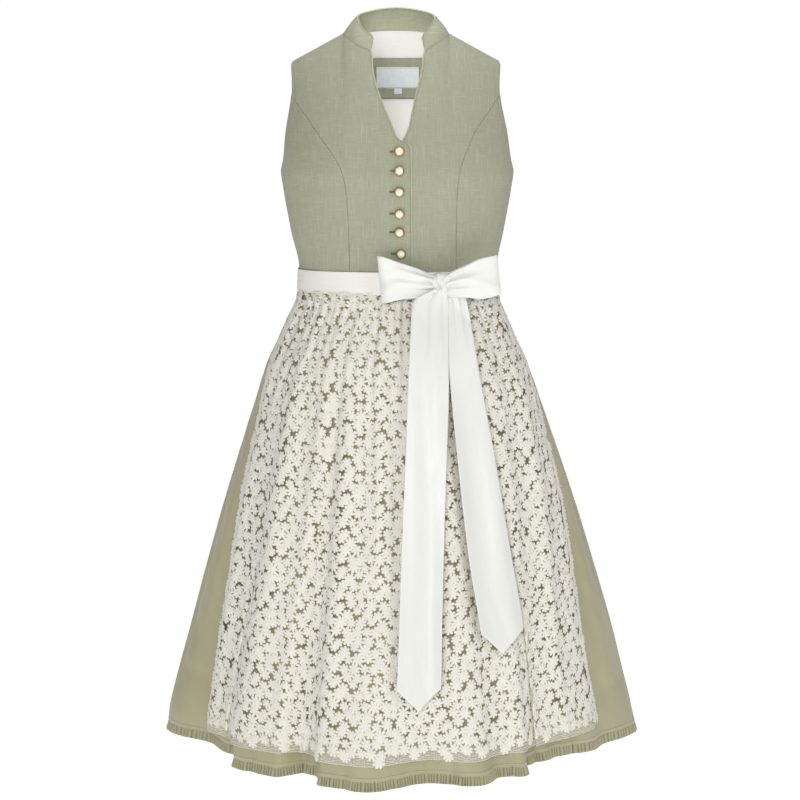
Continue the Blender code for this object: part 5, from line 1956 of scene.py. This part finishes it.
class DIRNDL_OT_apron(bpy.types.Operator):
    """Make the lace apron: its net, its flowers and the cords along its hem."""

    bl_idname = "dirndl.apron"
    bl_label = "Lace apron"

    def execute(self, context):
        settings = context.scene.dirndl_lace
        used = finishes()
        grid = apron_surface()
        lace = LaceMap(grid)
        coarse = grid[::2, ::2]
        uv = np.stack([lace.way, np.repeat(lace.up[:, None], grid.shape[1], axis=1)], axis=-1)
        net = grid_object("lace_net", coarse, uv[::2, ::2])
        dress_piece(net, used["net"], ["apron_lace"])
        flowers = lace_flowers(lace, settings)
        right, left = lace.edges(CORD_MARGIN)
        across = np.arange(right + CORD_MARGIN, left - CORD_MARGIN, CORD_STEP)
        drift = CORD_DRIFT[0] * np.sin(across / CORD_DRIFT[1])
        lines = [(across, np.full(len(across), CORD_FOOT))]
        for foot, rise, length, way, start, power in CORDS:
            swing = np.abs(np.sin(across * math.pi / length + way * drift + start))
            lines.append((across, foot + rise * swing**power))
        cords = lace_cord("lace_hem_cords", lace, lines)
        # the cords count as crests everywhere, so they get no painted shade
        write_relief(cords, np.ones(len(cords.data.vertices)))
        for piece in (*flowers, cords):
            dress_piece(piece, used["lace"], [])
        return {"FINISHED"}


# ---------------------------------------------------------------- band and bow

BAND_COLUMNS = 160
BAND_ROWS = 20
BAND_OUT = 0.0018
BAND_SIDE_GAP = 0.0012
BAND_COVER = (0.026, 0.052)
BAND_SWELL = 0.0007
SWELL_SHAPE = 0.6
# Faint level creases of the band: each one's waves round the waist, and its form
BAND_CREASES = ((3, (0.0004, 0.50, 0.05, 0.04)), (5, (0.0003, 0.78, -0.04, 0.03)))
LOOP_COLUMNS = 110
LOOP_ROWS = 44
LOOP_ROUND = 0.8
LOOP_FRONT = (0.45, 0.55)
LOOP_SWELL = 0.0125
LOOP_SWELL_SHARES = (0.70, 0.30)
LOOP_BEHIND = 0.6
LOOP_FORWARD = 0.0040
LOOP_SKEW = 0.0030
LOOP_WAVE = (0.0012, 3.2)
# Pleats of a loop at the knot: their fan across the ribbon, the loop's own start, and how the
# front ones outdo those behind; then depth, rate, start and fade of each set
LOOP_FAN = (5.5, 0.9)
LOOP_PLEAT_SIDES = (2, 0.8)
LOOP_PLEATS = ((0.0030, 1.5, 0.0, 1.6), (0.0010, 3.7, 1.0, 3))
# Forms in a loop's front: a fold and a ridge that slant across the ribbon on the way out, a roll
# near its end, and a ruffle of short waves along its upper edge
LOOP_FOLD = (-0.0060, 0.55, -1.1, 0.30)
LOOP_RIDGE = (0.0016, -0.45, 0.35, 0.34)
LOOP_ROLL = (-0.0016, 0.90, 0.05, 0.09)
LOOP_RUFFLE = (0.0012, 0.35, 0.0, 0.16)
RUFFLE_WAVES = 26
RUFFLE_EDGE = (0.2, 0.9)
TAIL_ROWS = 170
TAIL_COLUMNS = 36
TAIL_CLEARANCE = 0.0046
# How far each hanging end lies forward, and where its waves start
TAIL_RIGHT_LIES = (0.0034, 0.4)
TAIL_LEFT_LIES = (0.0004, 2.1)
# Forms of a hanging end by shares of its length and width: depths of its slow ripples, its round
# crown, its two sets of pleats, its dent near the point and the curl of its edges; radians of
# their waves down and across; and how far down the first ones and the pleats run
TAIL_DEPTHS = {"ripple": 0.0016, "crown": 0.0022, "curl": 0.0011}
TAIL_PLEATS = (0.0020, 0.0010)
RIPPLE_WAVES = (8, 2.2)
CROWN_WAVES = 5
CROWN_SHARES = (0.6, 0.4)
PLEAT_WAVES = (13, 27)
PLEAT_TWIST = 6
RIPPLE_RUN = 0.25
PLEAT_RUN = 0.20
PLEAT_FADE = 1.3
TAIL_DENT = (0.0012, 0.5, 3, 0.10)
DENT_RUN = (0.86, 0.93)
CURL_POWER = 6
POINT_RUN = 0.10
KNOT_ROWS = 60
KNOT_COLUMNS = 120
KNOT_SQUARE = 0.62
POLE_GAP = 0.02
# The knot's forms, as shares of its half sizes: how its middle is pinched, the slant of its turns
# of ribbon by place across and up, their bend and ridges, and how much of them shows at its sides
KNOT_PINCH = (0.14, 1.5)
KNOT_SLANT = (7.5, 3.2)
KNOT_BEND = ((0.9, 2.6, 0, 0.0),)
KNOT_RIDGES = ((0.085, 1, 0, 0.0), (0.045, 2.3, 1.7, 0.0))
KNOT_SIDE_RIDGES = 0.4
KNOT_TOP_RIDGES = 0.03
KNOT_CORE = 0.92
KNOT_LEAN = 0.0016
# The pucker in front: its place across and up, how much wider it is than tall, its depth and
# width, and the rays round it with their number and start
PUCKER_PLACE = (-0.10, 0.02)
PUCKER_SQUASH = 0.8
PUCKER = (0.30, 0.0, 0.0, 0.16)
RAYS = (0.06, 0.45, 0.0, 0.3)
RAY_TURNS = (6, 1.0)


def band_grid(middle):
    """Grid of half the waist band about its middle's angle: the ring at each height, moved out,
    stepping over the closing, with a slight swell between its sewn edges and two faint level
    creases."""
    half = math.pi / 2 - BAND_SIDE_GAP
    turns = np.linspace(middle - half, middle + half, BAND_COLUMNS)[None, :]
    share = dense_ends(BAND_ROWS)[:, None]
    heights = BAND_FOOT + share * (BAND_TOP - BAND_FOOT)
    grid = body(turns, heights)
    across = np.abs(grid[:, :, 0])
    cover = np.where(grid[:, :, 1] < 0, 1 - ease(*BAND_COVER, across), 0.0)
    swell = BAND_SWELL * np.sin(math.pi * share) ** SWELL_SHAPE
    crease = sum(slanted(form, share, np.sin(beats * turns)) for beats, form in BAND_CREASES)
    return moved_out(grid, BAND_OUT + OVERLAP_LIFT * cover + swell - crease, level=True)


def loop_grid(shape, side, middle_across, middle_depth):
    """A bow loop: a flattened ring of ribbon, out along the back and home in front, pleated at
    the knot and opening towards its end."""
    way = np.linspace(0, 1, LOOP_COLUMNS)[None, :]
    share = np.linspace(-1, 1, LOOP_ROWS)[:, None]
    out = np.sin(math.pi * way) ** LOOP_ROUND
    reach = read(shape, "reach", out, "out")
    middle = read(shape, "height", out, "out")
    tall = read(shape, "half_height", out, "out")
    front = ease(*LOOP_FRONT, way)
    level, more = LOOP_SWELL_SHARES
    swell = LOOP_SWELL * np.cos(math.pi * way) * (level + more * np.sin(math.pi * way))
    swell = swell * np.where(way > 0.5, 1.0, LOOP_BEHIND)
    fan = LOOP_FAN[0] * share + LOOP_FAN[1] * side
    sets = (d * np.cos(rate * fan + start) * (1 - out) ** fade for d, rate, start, fade in LOOP_PLEATS)
    pleats = sum(sets) * (LOOP_PLEAT_SIDES[0] * front - LOOP_PLEAT_SIDES[1])
    fold = slanted(LOOP_FOLD, share, out) * np.sqrt(out * (1 - out))
    fold = fold + slanted(LOOP_RIDGE, share, out) * out
    ruffle = slanted(LOOP_RUFFLE, out, share) * np.sin(RUFFLE_WAVES * out)
    formed = fold + slanted(LOOP_ROLL, out, share) + ruffle * ease(*RUFFLE_EDGE, share)
    depth = middle_depth + swell - LOOP_FORWARD * out + pleats + formed * front
    wavy = LOOP_WAVE[0] * np.sin(LOOP_WAVE[1] * math.pi * out + side) * out * share
    across = middle_across + side * reach - LOOP_SKEW * share * out
    height = middle + share * tall + wavy
    grid = np.stack(np.broadcast_arrays(across, depth, height), axis=-1)
    return grid if side < 0 else grid[:, ::-1]


def knot_grid(centre, half):
    """The knot: a soft block whose ribbon wraps it in slanting ridges, with a pucker in front."""
    pole = math.pi / 2 - POLE_GAP
    up = np.linspace(-pole, pole, KNOT_ROWS)[:, None]
    turn = np.linspace(-math.pi, math.pi, KNOT_COLUMNS, endpoint=False)[None, :]

    def squared(value):
        return np.sign(value) * np.abs(value) ** KNOT_SQUARE

    cx = squared(np.sin(turn)) * squared(np.cos(up))
    cy = -squared(np.cos(turn)) * squared(np.cos(up))
    cz = squared(np.sin(up)) + 0 * turn
    pinch = 1 - KNOT_PINCH[0] * (1 - np.abs(cz)) ** KNOT_PINCH[1]
    front = np.sqrt(np.clip(-cy, 0, 1))
    slant = KNOT_SLANT[0] * cx + KNOT_SLANT[1] * cz + waves(KNOT_BEND, cz)
    ridges = waves(KNOT_RIDGES, slant, cz)
    aside, above = cx - PUCKER_PLACE[0], cz - PUCKER_PLACE[1]
    away = np.hypot(aside, above * PUCKER_SQUASH)
    rays = np.cos(RAY_TURNS[0] * np.arctan2(above, aside) + RAY_TURNS[1]) * slanted(RAYS, away, 0)
    formed = ridges + rays - slanted(PUCKER, away, 0)
    x = half[0] * cx * pinch * (1 + KNOT_SIDE_RIDGES * ridges) + KNOT_LEAN * cz
    y = half[1] * cy * (KNOT_CORE + formed * front)
    z = half[2] * cz * (KNOT_CORE + KNOT_TOP_RIDGES * np.sin(slant))
    return centre + np.stack(np.broadcast_arrays(x, y, z), axis=-1)


# Where the ribbon's ends rest on the lace: reach across, step, and steps in the window
REST_REACH = (-0.040, 0.190)
REST_STEP = 0.002
REST_WINDOW = 9


def lace_front(across, height):
    """Depth of the foremost lace near each place: the least depth within a small window, softened
    by a mean, so that a ribbon rests on the folds and spans the hollows."""
    grid = apron_surface()[::3]
    places = np.arange(*REST_REACH, REST_STEP)
    depth = np.array([np.interp(places, row[:, 0], row[:, 1]) for row in grid])
    for joined in (np.min, np.mean):
        padded = np.pad(depth, REST_WINDOW // 2, mode="edge")
        windows = np.lib.stride_tricks.sliding_window_view(padded, (REST_WINDOW, REST_WINDOW))
        depth = joined(windows, axis=(-2, -1))
    row = np.interp(height, grid[:, 0, 2], np.arange(len(grid)))
    return read_grid(depth[..., None], row, (across - places[0]) / REST_STEP)[..., 0]


def tail_grid(shape, forward, beat):
    """A hanging end: flat across, with its edges slightly curled, slow ripples down its length
    that grow from the knot, a round crown, pleats at the top, a dent near the point, and a
    pointed cut end."""
    heights = np.linspace(shape["height"].min(), shape["height"].max(), TAIL_ROWS)[:, None]
    share = np.linspace(0, 1, TAIL_COLUMNS)[None, :]
    right, left = read(shape, "right", heights), read(shape, "left", heights)
    near, far = read(shape, "right_depth", heights), read(shape, "left_depth", heights)
    down = (heights.max() - heights) / (heights.max() - heights.min())
    edge = np.abs(2 * share - 1)
    ripple = np.sin(RIPPLE_WAVES[0] * down + beat + RIPPLE_WAVES[1] * share)
    ripple = ripple * np.clip(down / RIPPLE_RUN, 0, 1)
    level, more = CROWN_SHARES
    crown = (1 - edge**2) * (level + more * np.sin(CROWN_WAVES * down + beat))
    pleats = TAIL_PLEATS[0] * np.cos(PLEAT_WAVES[0] * share + beat + PLEAT_TWIST * down)
    pleats = pleats + TAIL_PLEATS[1] * np.cos(PLEAT_WAVES[1] * share + 2 * beat)
    pleats = pleats * np.clip(1 - down / PLEAT_RUN, 0, 1) ** PLEAT_FADE
    dent = slanted(TAIL_DENT, share, down - DENT_RUN[1]) * ease(*DENT_RUN, down)
    across = blend(right, left, share)
    height = heights - TAIL_POINT * (1 - edge) * np.clip(1 - (1 - down) / POINT_RUN, 0, 1)
    look = TAIL_DEPTHS["ripple"] * ripple - TAIL_DEPTHS["crown"] * crown + pleats
    look = look + dent - TAIL_DEPTHS["curl"] * edge**CURL_POWER
    depth = np.minimum(blend(near, far, share), lace_front(across, height) - TAIL_CLEARANCE)
    return np.stack(np.broadcast_arrays(across, depth - forward + look, height), axis=-1)


class DIRNDL_OT_ribbon(bpy.types.Operator):
    """Make the satin band, its tie round the back, and the bow with its two ends."""

    bl_idname = "dirndl.ribbon"
    bl_label = "Band and bow"

    def execute(self, context):
        thickness = context.scene.dirndl_ribbon.wall
        used = finishes()
        low, high = (np.array(c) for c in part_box("bow_knot"))
        centre, half = (low + high) / 2, (high - low) / 2
        pieces = (
            ("apron_band_satin", band_grid(0.0), "apron_band", "stretched"),
            ("tie_back_satin", band_grid(math.pi), "apron_tie_back", "stretched"),
            ("loop_right", loop_grid(LOOP_RIGHT, -1, *centre[:2]), "bow_loop_right", "folded"),
            ("loop_left", loop_grid(LOOP_LEFT, 1, *centre[:2]), "bow_loop_left", "folded"),
            ("tail_right", tail_grid(TAIL_RIGHT, *TAIL_RIGHT_LIES), "bow_tail_right", "hung"),
            ("tail_left", tail_grid(TAIL_LEFT, *TAIL_LEFT_LIES), "bow_tail_left", "hung"),
        )
        for name, grid, node, held in pieces:
            across = run_along(grid, 1)
            uv = np.stack([run_along(grid, 0), across], axis=-1)
            if held == "hung":
                uv = uv[..., ::-1]
            made = grid_object(name, grid, uv)
            dress_piece(made, used["band" if held == "stretched" else "satin"], [node])
            wall(made, thickness)
        grid = knot_grid(centre, half)
        uv = np.stack([run_along(grid, 1), run_along(grid, 0)], axis=-1)
        knot = grid_object("knot", grid, uv, closed=True)
        dress_piece(knot, used["satin"], ["bow_knot"])
        return {"FINISHED"}


# ---------------------------------------------------------------- sewing


# Stitch lines: distance from the edge and stitch to stitch
TOP_INSETS = (0.0028, 0.0052)
FRONT_INSET = 0.0030
HEM_INSET = 0.0050
PATCH_INSET = 0.0020
LABEL_INSET = 0.0013
INNER_COLLAR_INSET = 0.0040
LINEN_PITCH = 0.0024
HEM_PITCH = 0.0027
PATCH_RAISE = 0.0008
COLLAR_INSIDE = 0.0021
OVERLAP_ROWS = 60
STITCH_SHARE = 0.72
STITCH_WIDTH = 0.00055
STITCH_TALL = 0.00038
# A buttonhole beside its button: both sides of the slit, the bar at its end, and its stitch
HOLE_REACH = (-0.0125, -0.0068)
HOLE_HALF_WIDTH = 0.0008
HOLE_STITCHES = 11
BAR_ACROSS = -0.0130
BAR_HALF_WIDTH = 0.0011
BAR_STITCHES = 4
HOLE_OUT = 0.0001
HOLE_STITCH = (0.0013, 0.0005, 0.0004)


def hole_stitches(origins, frames):
    """Short stitches on both sides of each buttonhole's slit and a bar across its end."""
    along = np.linspace(*HOLE_REACH, HOLE_STITCHES)
    bar = np.linspace(-BAR_HALF_WIDTH, BAR_HALF_WIDTH, BAR_STITCHES)
    across = np.concatenate([along, along, np.full(BAR_STITCHES, BAR_ACROSS)])
    sides = np.repeat([-HOLE_HALF_WIDTH, HOLE_HALF_WIDTH], HOLE_STITCHES)
    up = np.concatenate([sides, bar])
    spots = np.stack([across, up, np.full(len(up), HOLE_OUT)], axis=-1)
    places = origins[:, None] + np.einsum("sk,nkj->nsj", spots, frames)
    crossways = frames[:, [1, 0, 2]] * np.array([1, -1, 1])[None, :, None]
    turned_frames = np.repeat(crossways[:, None], len(spots), axis=1)
    return places.reshape(-1, 3), turned_frames.reshape(-1, 3, 3)


def sew(name, lines, pitch, finish):
    """Stitches along several lines, joined as one piece."""
    frames = [stitch_frames(line, normals, pitch) for line, normals in lines]
    origins, axes = (np.concatenate(part) for part in zip(*frames, strict=True))
    shape, faces = stitch_shape(pitch * STITCH_SHARE, STITCH_WIDTH, STITCH_TALL)
    made = copies(name, shape, faces, origins, axes)
    dress_piece(made, finishes()[finish], [])


class DIRNDL_OT_sewing(bpy.types.Operator):
    """Make the lines of stitches and the buttonholes."""

    bl_idname = "dirndl.sewing"
    bl_label = "Sewing"

    def execute(self, context):
        collar = collar_grid()
        lines = [inset_line(collar, "t", inset) for inset in TOP_INSETS]
        lines.append(inset_line(front_panel(-1), "r", FRONT_INSET))
        lines.append(inset_line(front_panel(1)[OVERLAP_ROWS:], "l", FRONT_INSET))
        sew("linen_stitches", lines, LINEN_PITCH, "linen_thread")
        for name, front in (("hem_stitches_front", True), ("hem_stitches_back", False)):
            line = inset_line(skirt_half(front), "b", HEM_INSET)
            sew(name, [line], HEM_PITCH, "cotton_thread")
        # seen from inside, so each grid's columns run the other way
        facing, label = (back_patch(row, PATCH_RAISE)[:, ::-1] for row in (0, 1))
        lines = [inset_line(facing, edge, PATCH_INSET) for edge in "tb"]
        lines += [inset_line(label, edge, LABEL_INSET) for edge in "tb"]
        inner_collar = moved_out(collar, -COLLAR_INSIDE)[:, ::-1]
        lines.append(inset_line(inner_collar, "t", INNER_COLLAR_INSET))
        sew("inside_stitches", lines, LINEN_PITCH, "linen_thread")
        origins, frames = hole_stitches(*button_seats())
        made = copies("buttonholes", *stitch_shape(*HOLE_STITCH), origins, frames)
        dress_piece(made, finishes()["dark_thread"], [])
        return {"FINISHED"}


# ---------------------------------------------------------------- stage

CAMERA_PLACE = (0.0018, -2.900, -0.126)
CAMERA_AIM = (0.0018, 0.0, -0.493)
CAMERA_LENS = 94.0
FLOOR_HEIGHT = -1.32
FLOOR_REACH = 6
FLOOR_POINTS = 25
AMBIENT_LIGHT = 0.24
# Soft lights: name, place, aim, width and power. The one in the neck shows the lining.
LIGHTS = (
    ("key", (2.0, -1.7, 0.9), (0, 0, -0.5), 0.9, 14),
    ("front", (-0.35, -3.0, 0.35), (0, 0, -0.40), 1.0, 38),
    ("top", (0.0, 0.6, 2.2), (0, 0, -0.4), 1.6, 6),
    ("shoulders", (0.0, -0.10, 0.42), (0, 0.09, -0.05), 0.20, 1.4),
    ("neck", (0.0, -0.045, -0.045), (0, 0.10, -0.030), 0.03, 0.041),
)


def aimed(name, data, place, aim):
    """A camera or a light at its place, turned towards its aim."""
    made = bpy.data.objects.new(name, data)
    made.location = place
    made.rotation_euler = (Vector(aim) - Vector(place)).to_track_quat("-Z", "Y").to_euler()
    bpy.context.scene.collection.objects.link(made)
    return made


def soft_light(name, place, aim, width, power):
    """A square area light that faces its aim."""
    data = bpy.data.lights.new(name, "AREA")
    data.size = width
    data.energy = power
    aimed(name, data, place, aim)


class DIRNDL_OT_stage(bpy.types.Operator):
    """Make the camera, the soft lights and the pale floor."""

    bl_idname = "dirndl.stage"
    bl_label = "Stage"

    def execute(self, context):
        scene = context.scene
        data = bpy.data.cameras.new("camera")
        data.lens = CAMERA_LENS
        scene.camera = aimed("camera", data, CAMERA_PLACE, CAMERA_AIM)
        scene.view_settings.view_transform = "Standard"

        steps = np.linspace(-FLOOR_REACH, FLOOR_REACH, FLOOR_POINTS)
        floor = np.stack(np.broadcast_arrays(steps[None], steps[:, None], FLOOR_HEIGHT), axis=-1)
        floor = grid_object("floor", floor)
        floor.data.materials.append(studio_floor("studio_board"))

        for light in LIGHTS:
            soft_light(*light)
        world = bpy.data.worlds.new("white_studio")
        world.use_nodes = True
        tree = world.node_tree
        seen = add_node(tree, "ShaderNodeLightPath", output="Is Camera Ray")
        spread = {"Value": seen, "To Min": AMBIENT_LIGHT, "To Max": 1.0}
        strength = add_node(tree, "ShaderNodeMapRange", spread)
        feed(tree, tree.nodes["Background"], {"Color": (1, 1, 1, 1), "Strength": strength})
        scene.world = world
        return {"FINISHED"}


class DIRNDL_PT_panel(bpy.types.Panel):
    """Settings and steps of the dress."""

    bl_idname = "DIRNDL_PT_panel"
    bl_label = "Dirndl dress"
    bl_space_type = "VIEW_3D"
    bl_region_type = "UI"
    bl_category = "Dirndl"

    def draw(self, context):
        layout = self.layout
        for group in GROUPS:
            box = layout.box()
            box.label(text=group.replace("dirndl_", "").title())
            settings = getattr(context.scene, group)
            for name in settings.__annotations__:
                box.prop(settings, name)
        for step in STEPS:
            layout.operator(step.bl_idname)


GROUPS = {
    "dirndl_cloth": ClothSettings,
    "dirndl_lace": LaceSettings,
    "dirndl_ribbon": RibbonSettings,
    "dirndl_buttons": ButtonSettings,
}
STEPS = (
    DIRNDL_OT_bodice,
    DIRNDL_OT_collar,
    DIRNDL_OT_inside,
    DIRNDL_OT_buttons,
    DIRNDL_OT_skirt,
    DIRNDL_OT_apron,
    DIRNDL_OT_ribbon,
    DIRNDL_OT_sewing,
    DIRNDL_OT_stage,
)


def register():
    for group in GROUPS.values():
        bpy.utils.register_class(group)
    for step in STEPS:
        bpy.utils.register_class(step)
    bpy.utils.register_class(DIRNDL_PT_panel)
    for name, group in GROUPS.items():
        setattr(bpy.types.Scene, name, PointerProperty(type=group))


def unregister():
    for name in GROUPS:
        delattr(bpy.types.Scene, name)
    bpy.utils.unregister_class(DIRNDL_PT_panel)
    for step in reversed(STEPS):
        bpy.utils.unregister_class(step)
    for group in reversed(list(GROUPS.values())):
        bpy.utils.unregister_class(group)


def main():
    """Register the classes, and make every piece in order."""
    register()
    for step in STEPS:
        family, name = step.bl_idname.split(".")
        if getattr(getattr(bpy.ops, family), name)() != {"FINISHED"}:
            raise RuntimeError(f"{step.bl_label} wasn't made")
    bpy.context.view_layer.update()


if __name__ == "__main__":
    main()
